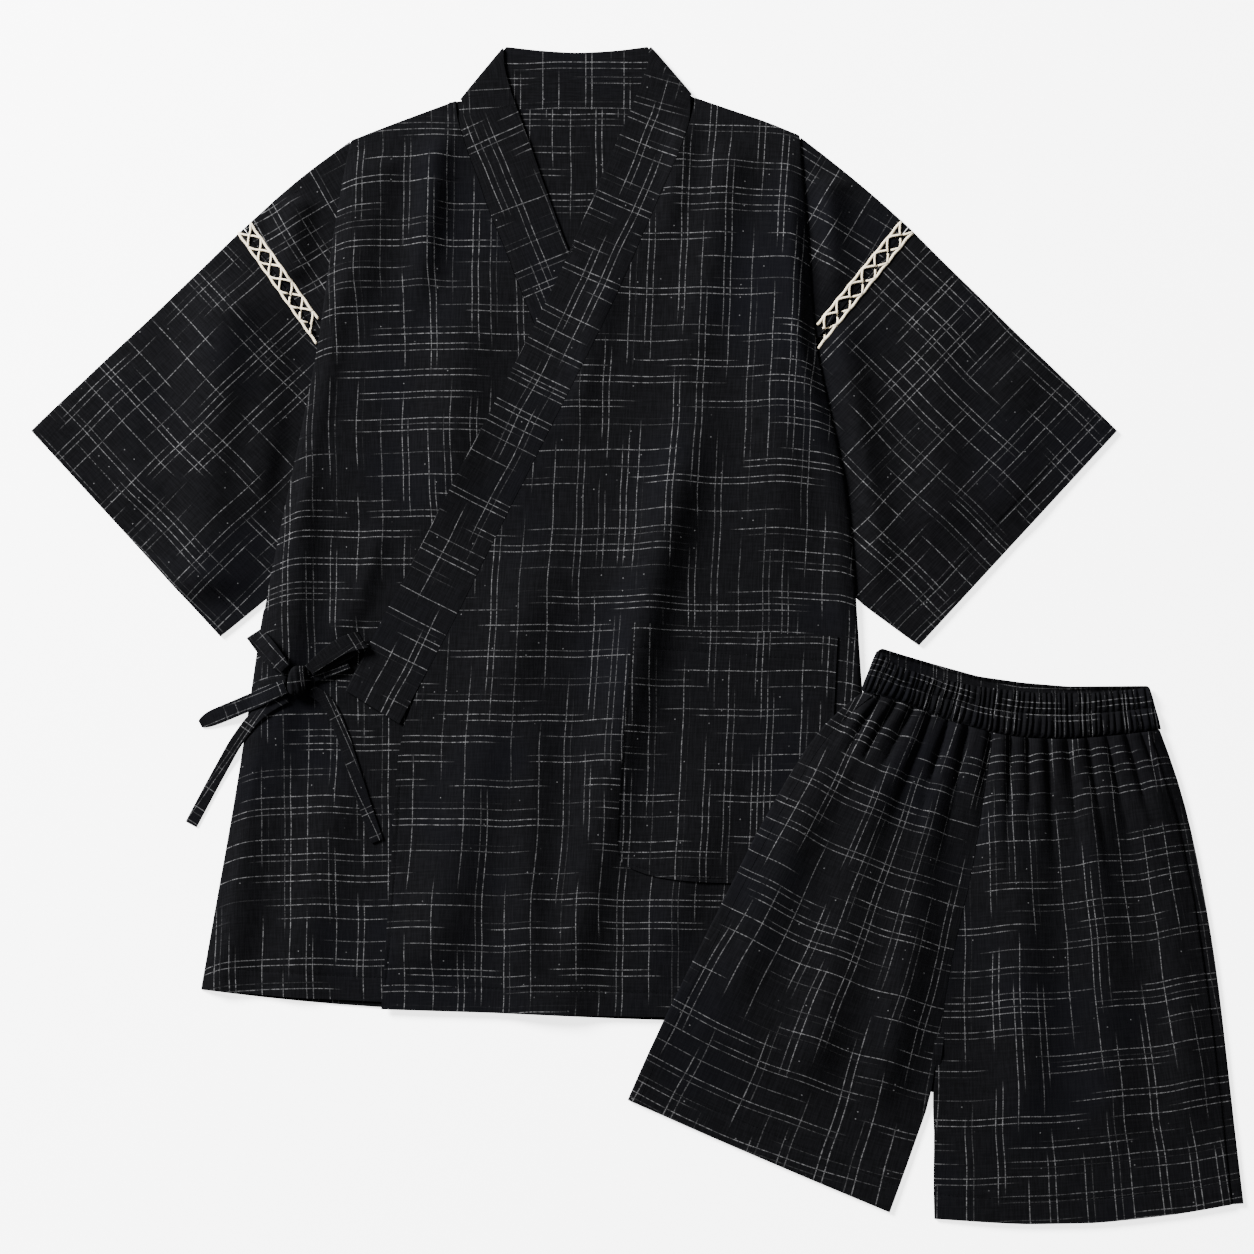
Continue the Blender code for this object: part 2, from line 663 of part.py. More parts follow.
def make_loop(name, lower, end, upper):
    """A loop of tape: out along the lower rows, over at the end and back along the upper ones."""
    way = heading((lower[-1].x, lower[-1].y), (end.x, end.y))
    low = lower[-1].z
    high = upper[0].z
    radius = (high - low) / 2
    rows = tape_rows(lower, 180.0)
    for turn in (150, 90, 30):
        angle = math.radians(turn)
        away = radius * math.sin(angle) - radius - TAPE_CLOTH / 2
        tape = Tape(end.x + way[0] * away, end.y + way[1] * away, end.width,
                    (low + high) / 2 + radius * math.cos(angle))
        rows.append(tape_row(tape, way, turn, way))
    back = tape_rows(upper)
    rows += [row[::-1] for row in back]
    add_cloth(name, rows)


def make_knot():
    """The flat knot: a rounded block that leans a little."""
    around = 12
    points = []
    for degrees in KNOT_RINGS:
        along = math.sin(math.radians(degrees))
        size = math.cos(math.radians(degrees)) ** KNOT_END_POWER
        for step in range(around):
            angle = 2 * math.pi * step / around
            across = math.copysign(abs(math.cos(angle)) ** KNOT_SIDE_POWER, math.cos(angle))
            up = math.copysign(abs(math.sin(angle)) ** KNOT_SIDE_POWER, math.sin(angle))
            points.append((KNOT_CENTRE[0] + KNOT_HALF[0] * size * across + KNOT_LEAN * along,
                           KNOT_CENTRE[1] + KNOT_HALF[1] * along,
                           KNOT_CENTRE[2] + KNOT_HALF[2] * size * up))
    faces = []
    for ring in range(len(KNOT_RINGS) - 1):
        for step in range(around):
            a = ring * around + step
            b = ring * around + (step + 1) % around
            faces.append((a, b, b + around, a + around))
    faces.append(tuple(range(around)))
    last = (len(KNOT_RINGS) - 1) * around
    faces.append(tuple(range(last, last + around)))
    add_object("bow_knot", points, faces)


def make_bow():
    add_cloth("tie_side", tape_rows(TIE_SIDE))
    add_cloth("tie_collar", tape_rows(TIE_COLLAR))
    make_loop("bow_loop_right", LOOP_RIGHT_LOW, LOOP_RIGHT_END, LOOP_RIGHT_TOP)
    make_loop("bow_loop_left", LOOP_LEFT_LOW, LOOP_LEFT_END, LOOP_LEFT_TOP)
    add_cloth("bow_tail_short", tape_rows(TAIL_SHORT))
    add_cloth("bow_tail_long", tape_rows(TAIL_LONG))
    add_cloth("bow_tail_right", tape_rows(TAIL_RIGHT))
    make_knot()


# Shorts
def rise(x, y):
    """How high the shorts' underside is held by the jacket's corner under them."""
    side = x - mix(171.0, 203.0, (28.0 - y) / 315.0)
    hem = -300.0 - y
    outside = max(side, hem)
    return JACKET_RISE * (1.0 - ease(RISE_END, RISE_START, outside))


def below_waist(x):
    """The top edge of the legs: the waistband's seam, less the gap."""
    for first, second in zip(WAIST_LOW, WAIST_LOW[1:]):
        if x <= second[0]:
            break
    share = (x - first[0]) / (second[0] - first[0])
    return mix(first[1], second[1], share) - SEAM_X


def make_leg(side, inner, outline, hem):
    """The front and back of one leg, from its inner seam outwards, laid out on the same rows."""
    count = len(inner)
    outer = stations(outline, count)
    seam = []
    for inside, outside in zip(inner, outer):
        way = heading(outside, inside)
        seam.append((outside[0] + way[0] * SIDE_WRAP, outside[1] + way[1] * SIDE_WRAP))
    seam[0] = (seam[0][0], below_waist(seam[0][0]))
    outer[0] = (outer[0][0], below_waist(outer[0][0]))
    top_line = [(x, below_waist(x)) for x, _ in stations([inner[0], seam[0]], LEG_COLUMNS + 1)]
    hem_line = stations([inner[-1]] + hem + [seam[-1]], LEG_COLUMNS + 1)
    grid = panel_grid(inner, seam, top_line, hem_line)
    front = []
    back = []
    for number, row in enumerate(grid):
        outside = outer[number]
        outward = heading(row[-1], outside)
        down = math.dist(row[LEG_COLUMNS // 2], grid[0][LEG_COLUMNS // 2])
        fade = 1.0 - ease(0.0, LEG_GATHER_REACH, down)
        upper = []
        lower = []
        for column, (x, y) in enumerate(row):
            ground = rise(x, y)
            gather = (column % 2) * LEG_GATHER_HEIGHT * fade
            dip = CENTRE_SEAM_DIP if column == 0 else 0.0
            upper.append(lying(x, y, ground + LEG_AIR + gather - dip))
            lower.append(face_down(x, y, ground))
        ground = rise(*outside)
        low = ground + CLOTH / 2
        high = ground + LEG_AIR + CLOTH / 2
        wrap = bend(outside, outward, low, high, (-60, 0, 60))
        reach = SIDE_WRAP - SEAM
        end = (outside[0] - outward[0] * reach, outside[1] - outward[1] * reach)
        flat = (outside[0] - outward[0] * WRAP_FLAT, outside[1] - outward[1] * WRAP_FLAT)
        turned = [lying(*flat, rise(*flat) + LEG_AIR), lying(*end, rise(*end) + LEG_AIR)]
        front.append(upper)
        back.append(lower + wrap + turned)
    add_cloth("leg_front_" + side, front)
    add_cloth("leg_back_" + side, back)


def make_shorts_legs():
    right_inner = CENTRE_SEAM + INSEAM_RIGHT
    left_inner = [(x + SEAM_X, y) for x, y in CENTRE_SEAM] + INSEAM_LEFT
    make_leg("right", right_inner, OUTLINE_RIGHT, HEM_RIGHT)
    make_leg("left", left_inner, OUTLINE_LEFT, HEM_LEFT)


def waist_row(low, high, middle, normal, outside, inside):
    """One row across the waistband, from its seam to its top edge."""
    row = []
    for share, puff in ((0.0, 0.0), (0.26, 1.0), (0.5, 0.25), (0.74, 1.0), (1.0, 0.0)):
        x = mix(low[0], high[0], share)
        y = mix(low[1], high[1], share)
        point = (x, y, rise(x, y) + middle)
        row.append(Sample(point, normal, WAIST_HALF + outside * puff, WAIST_HALF + inside * puff))
    return row


def make_waistband():
    """The flattened elastic ring: gathered front, rounded ends and gathered back."""
    rows = []
    low_middle = WAIST_HALF
    high_middle = WAIST_HALF + WAIST_AIR
    front = 2 * WAIST_GATHERS_FRONT
    low_line = stations(WAIST_LOW, front + 1)
    high_line = stations(WAIST_TOP_FRONT, front + 1)
    for number in range(front + 1):
        raised = WAIST_PUFF - (number % 2) * WAIST_FOLD
        rows.append(waist_row(low_line[number], high_line[number], high_middle,
                              (0.0, 0.0, 1.0), raised, 0.0))
    rows.append(waist_end(WAIST_LOW[-1], WAIST_TOP_FRONT[-1], (1.0, 0.05)))
    back = 2 * WAIST_GATHERS_BACK
    low_line = stations(WAIST_LOW, back + 1)
    high_line = stations(WAIST_TOP_BACK, back + 1)
    for number in range(back, -1, -1):
        raised = WAIST_FOLD * (number % 2)
        rows.append(waist_row(low_line[number], high_line[number], low_middle,
                              (0.0, 0.0, -1.0), 0.0, raised))
    rows.append(waist_end(WAIST_LOW[0], WAIST_TOP_FRONT[0], (-1.0, 0.05)))
    add_cloth("waistband", rows, ring=True)


def waist_end(low, high, way):
    """The round end of the band, half way between its front and its back."""
    length = math.hypot(*way)
    outward = (way[0] / length, way[1] / length)
    reach = WAIST_AIR / 2
    moved_low = (low[0] + outward[0] * reach, low[1] + outward[1] * reach)
    moved_high = (high[0] + outward[0] * reach, high[1] + outward[1] * reach)
    return waist_row(moved_low, moved_high, WAIST_HALF + WAIST_AIR / 2,
                     (outward[0], outward[1], 0.0), WAIST_END_BULGE, 0.0)


def make_jacket():
    make_back()
    make_front_right()
    make_front_left()
    make_folded_arm("sleeve_right", SLEEVE_RIGHT, 4)
    make_folded_arm("sleeve_left", SLEEVE_LEFT, 4)
    make_folded_arm("shoulder_right", SHOULDER_RIGHT, 0)
    make_folded_arm("shoulder_left", SHOULDER_LEFT, 0)
    make_lace("lace_right", (-307.5, 318.5), (-250.0, 237.3), 7.5)
    make_lace("lace_left", (210.5, 319.3), (140.6, 233.2), -7.0)
    make_collar()
    make_pocket()
    make_bow()


clear_scene()
make_jacket()
make_shorts_legs()
make_waistband()
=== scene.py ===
# %% Set up the lesson and bring in the structure
import math
import random

import bmesh
import bpy
import numpy as np
from mathutils.bvhtree import BVHTree
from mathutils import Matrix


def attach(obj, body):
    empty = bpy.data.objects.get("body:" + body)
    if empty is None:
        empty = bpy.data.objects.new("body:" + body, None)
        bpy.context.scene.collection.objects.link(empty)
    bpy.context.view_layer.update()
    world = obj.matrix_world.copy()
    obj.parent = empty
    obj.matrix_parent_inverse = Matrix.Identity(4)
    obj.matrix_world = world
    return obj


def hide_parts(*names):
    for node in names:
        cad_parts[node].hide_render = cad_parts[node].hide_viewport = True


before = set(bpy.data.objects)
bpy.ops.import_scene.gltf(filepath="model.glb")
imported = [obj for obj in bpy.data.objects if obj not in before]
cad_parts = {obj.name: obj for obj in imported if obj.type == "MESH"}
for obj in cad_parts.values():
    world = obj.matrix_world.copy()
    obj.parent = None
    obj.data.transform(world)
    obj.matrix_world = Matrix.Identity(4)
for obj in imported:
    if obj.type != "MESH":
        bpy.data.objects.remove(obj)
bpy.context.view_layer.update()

MM = 0.001
print("pieces of the structure:", len(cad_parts))

# %% [markdown]
# The set is a jinbei: a wrap jacket and elastic-waist shorts of one black slubby cotton, laid out flat
# on a pale surface. Every panel is one sheet of cloth about a millimetre thick. The structure already
# holds each panel as a coarse solid in its true place, so each sheet here starts as a copy of its
# solid, and folds, gathers and hems are pressed in. A cloth simulation could let the folds fall
# on their own, but it wouldn't put them where the picture has them, and laid cloth has few of them.

# %% Sizes, in millimetres
CELL = 4.5            # size of a face on the side that shows
CELL_UNDER = 9.0      # and on the side that lies down
CELL_LINE = 1.2       # and beside a row of stitches,
LINE_REACH = 3.0      # up to this far from it
CELL_GATHER = 1.6     # and where the legs are gathered,
GATHER_REACH = 48.0   # up to this far from the waistband's seam
STITCH_LENGTH = 2.3
STITCH_STEP = 3.2
GROOVE = 0.45         # how deep a row of stitches draws the cloth in
GROOVE_WIDTH = 1.0
JACKET_RISE = 8.2     # the shorts lie this high where the jacket is under them
RISE_START = 60.0     # they leave the surface this far from the jacket
RISE_END = 4.0        # and are at full height this near to it
ROLL_HEIGHT = 2.6     # the soft roll along each side fold of the body
ROLL_CENTRE = 12.0    # its middle lies this far inside the fold
ROLL_WIDTH = 8.0
FOLD_FADE = 14.0      # the body's folds fade in over this width inside its side folds
CALM_HEM = (-272.0, -225.0)     # and sink to half their height between these places on Y
SHORTS_EDGE = (143.0, -67.0)    # a point on the edge of the shorts, where they cover the jacket
SHORTS_AWAY = (0.89, -0.456)    # and the direction across it, away from the body
NECK_TOP = (-48.0, 430.0)       # the folds end at the neck, whose edge slopes down to both sides
NECK_SLOPE = 0.25
GATHER_STRENGTH = 1.5
GATHER_DEPTH = 62.0   # a gather's lean is its shift to the side over this depth
GATHER_WIDTH = 14.0   # the width of the outermost gathers
WAIST_STAND = 3.0     # the gathered cloth stands up this much at the seam
SIDE_STEP = 1.4       # the left leg's front steps down to its side seam
FOLD_STRENGTH = 2.1   # how strongly the tables' folds are pressed
DROOP = 7.0           # lines of the cloth sink this much at a side fold
DROOP_REACH = 15.0

FOLD_RIGHT = [
    (-224, 387), (-229, 364), (-237, 317), (-244, 270), (-249, 227), (-259, 177), (-271, 122),
    (-283, 67), (-293, 17), (-298, -18), (-305, -65), (-312, -112), (-320, -159), (-329, -206),
    (-337, -252), (-341, -275),
]
FOLD_LEFT = [
    (127, 391), (129, 364), (133, 317), (136, 270), (138, 227), (150, 177), (164, 122),
    (168, 75), (171, 28), (175, -42), (181, -112), (189, -182), (197, -245), (203, -287),
]
# a fold: start, a point that bends it, end, width, height, and the shares that fade in and out
BODY_CREASES = [
    (58, 215, 8, 60, -60, -300, 20, 5.0, 0.25, 0.0),       # the long fold of the overlap
    (-58, 100, -105, -20, -166, -270, 26, 3.6, 0.25, 0.05),
    (-72, -20, -92, -150, -84, -300, 17, 3.0, 0.3, 0.0),
    (112, 370, 122, 190, 104, 10, 26, 2.8, 0.2, 0.3),
    (72, 400, 64, 300, 30, 170, 17, 2.6, 0.15, 0.3),
    (-10, 300, -40, 240, -50, 150, 14, 2.0, 0.3, 0.3),
    (60, -60, 40, -170, 28, -300, 30, 1.8, 0.3, 0.0),
    (-155, 404, -160, 340, -174, 236, 12, 3.6, 0.03, 0.35),
    (36, 404, 33, 362, 20, 300, 10, 2.6, 0.03, 0.4),       # beside the collar
    (-196, 380, -214, 320, -224, 240, 15, 2.6, 0.1, 0.35),
    (-132, 300, -146, 170, -158, 60, 26, 2.8, 0.25, 0.3),
    (-256, 150, -263, 20, -290, -150, 12, 2.4, 0.2, 0.3),
    (-232, -90, -246, -190, -268, -285, 18, 2.6, 0.3, 0.0),
    (-292, -110, -305, -190, -318, -285, 12, 2.0, 0.3, 0.0),
    (-232, -12, -210, 40, -196, 110, 8, 1.6, 0.2, 0.4),
    (-238, -6, -226, 30, -222, 80, 6, 1.2, 0.2, 0.4),
]
SLEEVE_CREASES = {
    "sleeve_right": [
        (-312, 290, -336, 175, -338, 20, 30, 5.6, 0.15, 0.1),
        (-390, 225, -400, 160, -380, 90, 22, 1.8, 0.2, 0.2),
        (-284, 270, -282, 190, -300, 80, 14, 2.0, 0.3, 0.3),
    ],
    "sleeve_left": [
        (152, 262, 176, 150, 190, 30, 16, 3.6, 0.15, 0.15),
        (290, 225, 296, 150, 276, 80, 24, 2.2, 0.2, 0.2),
        (232, 270, 236, 170, 236, 60, 24, 2.4, 0.2, 0.2),
    ],
    "shoulder_right": [(-266, 345, -270, 312, -268, 272, 13, 3.2, 0.1, 0.2)],
    "shoulder_left": [(146, 360, 150, 312, 154, 262, 14, 3.4, 0.1, 0.2)],
}
LEG_CREASES = [
    (165, -60, 130, -140, 62, -300, 20, 3.0, 0.2, 0.2),
    (190, -62, 172, -200, 124, -370, 20, 2.8, 0.2, 0.2),
    (236, -72, 222, -210, 180, -400, 18, 2.4, 0.2, 0.2),
    (298, -80, 296, -230, 304, -420, 22, 2.8, 0.15, 0.2),
    (352, -82, 362, -230, 372, -420, 20, 2.6, 0.15, 0.2),
    (398, -80, 418, -220, 436, -400, 16, 2.4, 0.15, 0.2),
]
# a gather: its place on X, lean, length and height
LEG_GATHERS = [
    (184, -36, 62, 2.6), (195, -30, 84, 3.2), (208, -30, 70, 3.0),
    (223, -24, 110, 3.8), (235, -18, 74, 3.0), (250, -14, 120, 3.8),
    (266, -10, 92, 3.2), (284, -3, 130, 3.8), (297, 0, 84, 3.0),
    (312, 3, 116, 3.6), (326, 5, 96, 3.2), (343, 8, 128, 3.8),
    (358, 11, 88, 3.2), (373, 16, 112, 3.6), (386, 20, 76, 2.8),
    (398, 24, 58, 2.4),
]
SIDE_SEAM = [(402, -84), (420, -140), (434, -200), (446, -280), (456, -360), (464, -440)]
WAIST_LOW = [
    (176, -42.6), (192, -46.6), (212, -53.6), (240, -64.6), (277, -74.6), (301, -78.6),
    (337, -79.6), (372, -76.6), (407, -72.6),
]
COLLAR_LINE_RIGHT = [(76, -57), (1, 116), (-34, 196), (-86, 322), (-104, 370), (-121, 408), (-123, 440)]
COLLAR_LINE_LEFT = [(27, 440), (17, 405), (1, 366), (-38, 276), (-85, 183), (-136, 83), (-207, -55)]
print("folds and gathers placed by hand:", len(BODY_CREASES) + len(LEG_CREASES) + len(LEG_GATHERS)
      + sum(len(creases) for creases in SLEEVE_CREASES.values()))


# %% [markdown]
# A fold in laid cloth is a long soft ridge. Each one in the tables is a bent line with a width and a
# height, swelling and sinking along its length.

# %% Ridges
def ease(low, high, value):
    share = np.clip((value - low) / (high - low), 0.0, 1.0)
    return share * share * (3.0 - 2.0 * share)


def nearest_on(line, x, y):
    """Distance along a line, signed distance beside it and share of its length, for many points."""
    best = np.full(x.shape, 1e9)
    along = np.zeros(x.shape)
    beside = np.zeros(x.shape)
    start = 0.0
    for (x1, y1), (x2, y2) in zip(line, line[1:]):
        length = math.hypot(x2 - x1, y2 - y1)
        ux, uy = (x2 - x1) / length, (y2 - y1) / length
        s = np.clip((x - x1) * ux + (y - y1) * uy, 0.0, length)
        dx, dy = x - x1 - ux * s, y - y1 - uy * s
        gap = np.hypot(dx, dy)
        closer = gap < best
        best = np.where(closer, gap, best)
        along = np.where(closer, start + s, along)
        beside = np.where(closer, np.copysign(gap, ux * dy - uy * dx), beside)
        start += length
    return along, beside, along / start


def ridges(creases, x, y):
    total = np.zeros(x.shape)
    for number, (x1, y1, x2, y2, x3, y3, width, height, fade_in, fade_out) in enumerate(creases):
        line = []
        for step in range(13):
            t = step / 12
            line.append(tuple((1 - t) ** 2 * a + 2 * t * (1 - t) * b + t * t * c
                              for a, b, c in ((x1, x2, x3), (y1, y2, y3))))
        _, beside, share = nearest_on(line, x, y)
        swell = 1.0 + 0.22 * np.sin(6.0 * share + 1.7 * number)
        if fade_in:
            swell = swell * ease(0.0, fade_in, share)
        if fade_out:
            swell = swell * (1.0 - ease(1.0 - fade_out, 1.0, share))
        total += FOLD_STRENGTH * height * swell * np.exp(-(beside / width) ** 2)
    return total


middle_of_overlap = (np.array([8.0]), np.array([60.0]))
print("the overlap's long fold: %.1f mm" % float(ridges(BODY_CREASES, *middle_of_overlap)[0]))

# %% [markdown]
# One field of heights lifts every layer of the body at once, so the pocket and the collar ride on the
# front and no layer goes through the next. The sleeves have their own, which starts beside the body.


# %% Heights of the jacket
def fold_distance(line, x, y):
    """How far a point lies from a side fold, along X."""
    xs, ys = zip(*reversed(line))
    return x - np.interp(y, ys, xs)


def roll(distance):
    return ROLL_HEIGHT * np.exp(-((distance - ROLL_CENTRE) / ROLL_WIDTH) ** 2)


def body_lift(x, y):
    """Folds and side rolls of the body, which end under the shorts and at the neck."""
    right = fold_distance(FOLD_RIGHT, x, y)
    left = -fold_distance(FOLD_LEFT, x, y)
    inside = ease(0.0, FOLD_FADE, right) * ease(0.0, FOLD_FADE, left)
    from_shorts = (SHORTS_EDGE[0] - x) * SHORTS_AWAY[0] + (SHORTS_EDGE[1] - y) * SHORTS_AWAY[1]
    from_neck = NECK_TOP[1] - y - np.abs(x - NECK_TOP[0]) * NECK_SLOPE
    lift = ridges(BODY_CREASES, x, y) * inside * (0.5 + 0.5 * ease(*CALM_HEM, y))
    edge = (roll(right) + roll(left)) * ease(0.0, 4.0, right) * ease(0.0, 4.0, left)
    return (lift + edge) * ease(4.0, 40.0, from_shorts) * ease(0.0, 30.0, from_neck)


def groove(lines, x, y):
    """A row of stitches draws the cloth down along its line."""
    total = np.zeros(x.shape)
    for line in lines:
        _, beside, _ = nearest_on(line, x, y)
        total -= GROOVE * np.exp(-(beside / GROOVE_WIDTH) ** 2)
    return total


def sleeve_lift(name):
    def lift(x, y):
        beyond = np.maximum(-fold_distance(FOLD_RIGHT, x, y), fold_distance(FOLD_LEFT, x, y))
        return ridges(SLEEVE_CREASES[name], x, y) * ease(2.0, 18.0, beyond)
    return lift


print("the body at that fold: %.1f mm" % float(body_lift(*middle_of_overlap)[0]))

# %% [markdown]
# The shorts rise over the jacket's corner. Below the waistband each gather is a small dome between its
# two neighbours, with a sharp valley at both sides, as elastic draws cloth up.


# %% Heights of the shorts
def jacket_rise(x, y):
    """How high the shorts are held by the jacket's corner."""
    side = x - (171.0 + 32.0 * (28.0 - y) / 315.0)
    outside = np.maximum(side, -300.0 - y)
    return JACKET_RISE * (1.0 - ease(RISE_END, RISE_START, outside))


def waist_y(x):
    return np.interp(x, *zip(*WAIST_LOW))


def leg_lift(x, y):
    below = waist_y(x) - y
    total = ridges(LEG_CREASES, x, y) * ease(8.0, 70.0, below)
    centres = [place + lean * below / GATHER_DEPTH for place, lean, _, _ in LEG_GATHERS]
    centres = [centres[0] - GATHER_WIDTH] + centres + [centres[-1] + GATHER_WIDTH]
    for number, (_, _, length, height) in enumerate(LEG_GATHERS, 1):
        centre = centres[number]
        half = np.where(x < centre, centre - centres[number - 1], centres[number + 1] - centre) / 2
        crown = np.maximum(1.0 - np.abs((x - centre) / half) ** 2.4, 0.0)
        fade = 1.0 - ease(length * 0.15, length * 1.2, below)
        total += GATHER_STRENGTH * height * fade * crown
    total += WAIST_STAND * (1.0 - ease(0.0, 60.0, below))
    from_seam = -fold_distance(SIDE_SEAM, x, y)
    total += SIDE_STEP * ease(-0.4, 1.2, from_seam) * ease(230.0, 280.0, x)
    return total * ease(-3.0, 2.0, below)


print("cloth at one gather: %.1f mm" % float(leg_lift(np.array([284.0]), np.array([-85.0]))[0]))


# %% [markdown]
# A sheet is copied from its solid. The solid comes as triangles, so they are joined into four-sided
# faces where they can be, one round of subdivision smooths the facets while creased rims keep the cut
# edges crisp, and every edge that is still too long is halved until the cloth can follow its folds.
# Remeshing would do it in one step, but it loses the thin rims.

# %% Making a fine sheet from a solid
def coordinates(mesh):
    points = np.empty(len(mesh.vertices) * 3)
    mesh.vertices.foreach_get("co", points)
    return points.reshape(-1, 3)


def add_object(name, data):
    thing = bpy.data.objects.new(name, data)
    bpy.context.scene.collection.objects.link(thing)
    return thing


def smooth_copy(name, node, levels, crisp):
    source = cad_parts[node].data
    mesh = bpy.data.meshes.new(name)
    mesh.from_pydata([tuple(v.co) for v in source.vertices], [],
                     [tuple(p.vertices) for p in source.polygons])
    form = bmesh.new()
    form.from_mesh(mesh)
    bmesh.ops.remove_doubles(form, verts=form.verts, dist=0.00002)
    bmesh.ops.join_triangles(form, faces=form.faces, angle_face_threshold=1.2,
                             angle_shape_threshold=3.1)
    bmesh.ops.recalc_face_normals(form, faces=form.faces)
    crease = form.edges.layers.float.new("crease_edge")
    for edge in form.edges:
        if len(edge.link_faces) == 2 and edge.calc_face_angle() > math.radians(65):
            edge[crease] = crisp
    form.to_mesh(mesh)
    form.free()
    piece = add_object(name, mesh)
    if levels:
        smoother = piece.modifiers.new("smoother", "SUBSURF")
        smoother.levels = levels
        bpy.ops.object.select_all(action="DESELECT")
        piece.select_set(True)
        bpy.context.view_layer.objects.active = piece
        bpy.ops.object.modifier_apply(modifier=smoother.name)
    return piece


def refine(piece, cell, cell_under, places):
    """Halve long edges until each is short enough for where it lies; a place is a line with a reach."""
    form = bmesh.new()
    form.from_mesh(piece.data)
    for _ in range(7):
        form.normal_update()
        ends = np.array([[*e.verts[0].co, *e.verts[1].co] for e in form.edges]) / MM
        middle = (ends[:, :3] + ends[:, 3:]) / 2
        length = np.linalg.norm(ends[:, :3] - ends[:, 3:], axis=1)
        down = np.array([e.verts[0].normal.z + e.verts[1].normal.z < -0.4 for e in form.edges])
        wanted = np.where(down, cell_under, cell)
        for line, reach, size in places:
            _, beside, _ = nearest_on(line, middle[:, 0], middle[:, 1])
            close = (np.abs(beside) < reach) & ~down
            wanted = np.where(close, np.minimum(wanted, size), wanted)
        long = length > wanted * 1.4
        if not long.any():
            break
        form.edges.ensure_lookup_table()
        edges = [form.edges[int(number)] for number in np.flatnonzero(long)]
        bmesh.ops.subdivide_edges(form, edges=edges, cuts=1, use_grid_fill=True)
    form.to_mesh(piece.data)
    form.free()


def press(piece, lift, weight=None):
    """Raise the cloth by a field of heights in millimetres."""
    points = coordinates(piece.data)
    x, y, z = points[:, 0] / MM, points[:, 1] / MM, points[:, 2] / MM
    height = lift(x, y)
    if weight is not None:
        height = height * weight(x, y, z)
    points[:, 2] += height * MM
    piece.data.vertices.foreach_set("co", points.ravel())
    piece.data.update()


print("usual face size: %.1f mm, and %.1f mm underneath" % (CELL, CELL_UNDER))

# %% [markdown]
# The weave has to follow the cloth and not the floor, so every sheet carries its own coordinates in a
# UV map: the place across and along the cloth that it was cut from.


# %% The grain of a sheet, and finishing it
def lay_grain(piece, along_across):
    """Write the cloth's own coordinates, in metres, into the sheet's UV map."""
    points = coordinates(piece.data)
    u, v = along_across(points[:, 0] / MM, points[:, 1] / MM, points[:, 2] / MM)
    layer = piece.data.uv_layers.new(name="cloth")
    corners = np.empty(len(piece.data.loops), dtype=np.int64)
    piece.data.loops.foreach_get("vertex_index", corners)
    flat = np.stack([u[corners], v[corners]], axis=1) * MM
    layer.data.foreach_set("uv", flat.ravel())


def shifted(u, v, seed):
    """Another place of the woven lines for each piece."""
    return u + 613.0 * seed, v + 371.0 * seed


def turned(degrees, seed, tight=(1.0, 1.0)):
    """Straight lines at an angle to X, closer together where the cloth is narrow."""
    angle = math.radians(degrees)

    def along_across(x, y, z):
        u = x * math.cos(angle) + y * math.sin(angle)
        v = -x * math.sin(angle) + y * math.cos(angle)
        return shifted(u * tight[0], v * tight[1], seed)
    return along_across


def finish_sheet(piece, node):
    form = bmesh.new()
    form.from_mesh(piece.data)
    bmesh.ops.recalc_face_normals(form, faces=form.faces)
    form.to_mesh(piece.data)
    form.free()
    piece.data.shade_smooth()
    piece.data.set_sharp_from_angle(angle=math.radians(60))
    piece.data.materials.append(cloth)
    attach(piece, "root")
    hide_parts(node)


# %% [markdown]
# A material is a small tree of nodes. These helpers keep the trees short to read: put adds a node with
# its values and links, calc does one sum, and the others make the few nodes that come back often.


# %% Helpers for materials
def new_group(name, inputs, outputs, kind="NodeSocketFloat"):
    """A group with these inputs, all of one kind, and these values as outputs."""
    tree = bpy.data.node_groups.new(name, "ShaderNodeTree")
    for label in inputs:
        tree.interface.new_socket(name=label, in_out="INPUT", socket_type=kind)
    for label in outputs:
        tree.interface.new_socket(name=label, in_out="OUTPUT", socket_type="NodeSocketFloat")
    return tree, tree.nodes.new("NodeGroupInput"), tree.nodes.new("NodeGroupOutput")


def new_material(name, settings):
    material = bpy.data.materials.new(name)
    material.use_nodes = True
    shader = material.node_tree.nodes["Principled BSDF"]
    for label, value in settings.items():
        shader.inputs[label].default_value = value
    return material, material.node_tree, shader


def fill(tree, socket, value):
    if isinstance(value, bpy.types.NodeSocket):
        tree.links.new(value, socket)
    else:
        socket.default_value = value


def put(tree, kind, values, **settings):
    node = tree.nodes.new(kind)
    for name, value in settings.items():
        setattr(node, name, value)
    for name, value in values.items():
        fill(tree, node.inputs[name], value)
    return node


def calc(tree, operation, *values):
    node = put(tree, "ShaderNodeMath", {}, operation=operation)
    for socket, value in zip(node.inputs, values):
        fill(tree, socket, value)
    return node.outputs[0]


def soft_step(tree, value, low, high, start=0.0, end=1.0):
    node = put(tree, "ShaderNodeMapRange", {0: value, 1: low, 2: high, 3: start, 4: end},
               interpolation_type="SMOOTHSTEP")
    return node.outputs[0]


def noise(tree, place, detail, dimensions="2D", scale=1.0):
    label = "W" if dimensions == "1D" else "Vector"
    node = put(tree, "ShaderNodeTexNoise", {label: place, "Scale": scale, "Detail": detail},
               noise_dimensions=dimensions)
    return node.outputs[0]


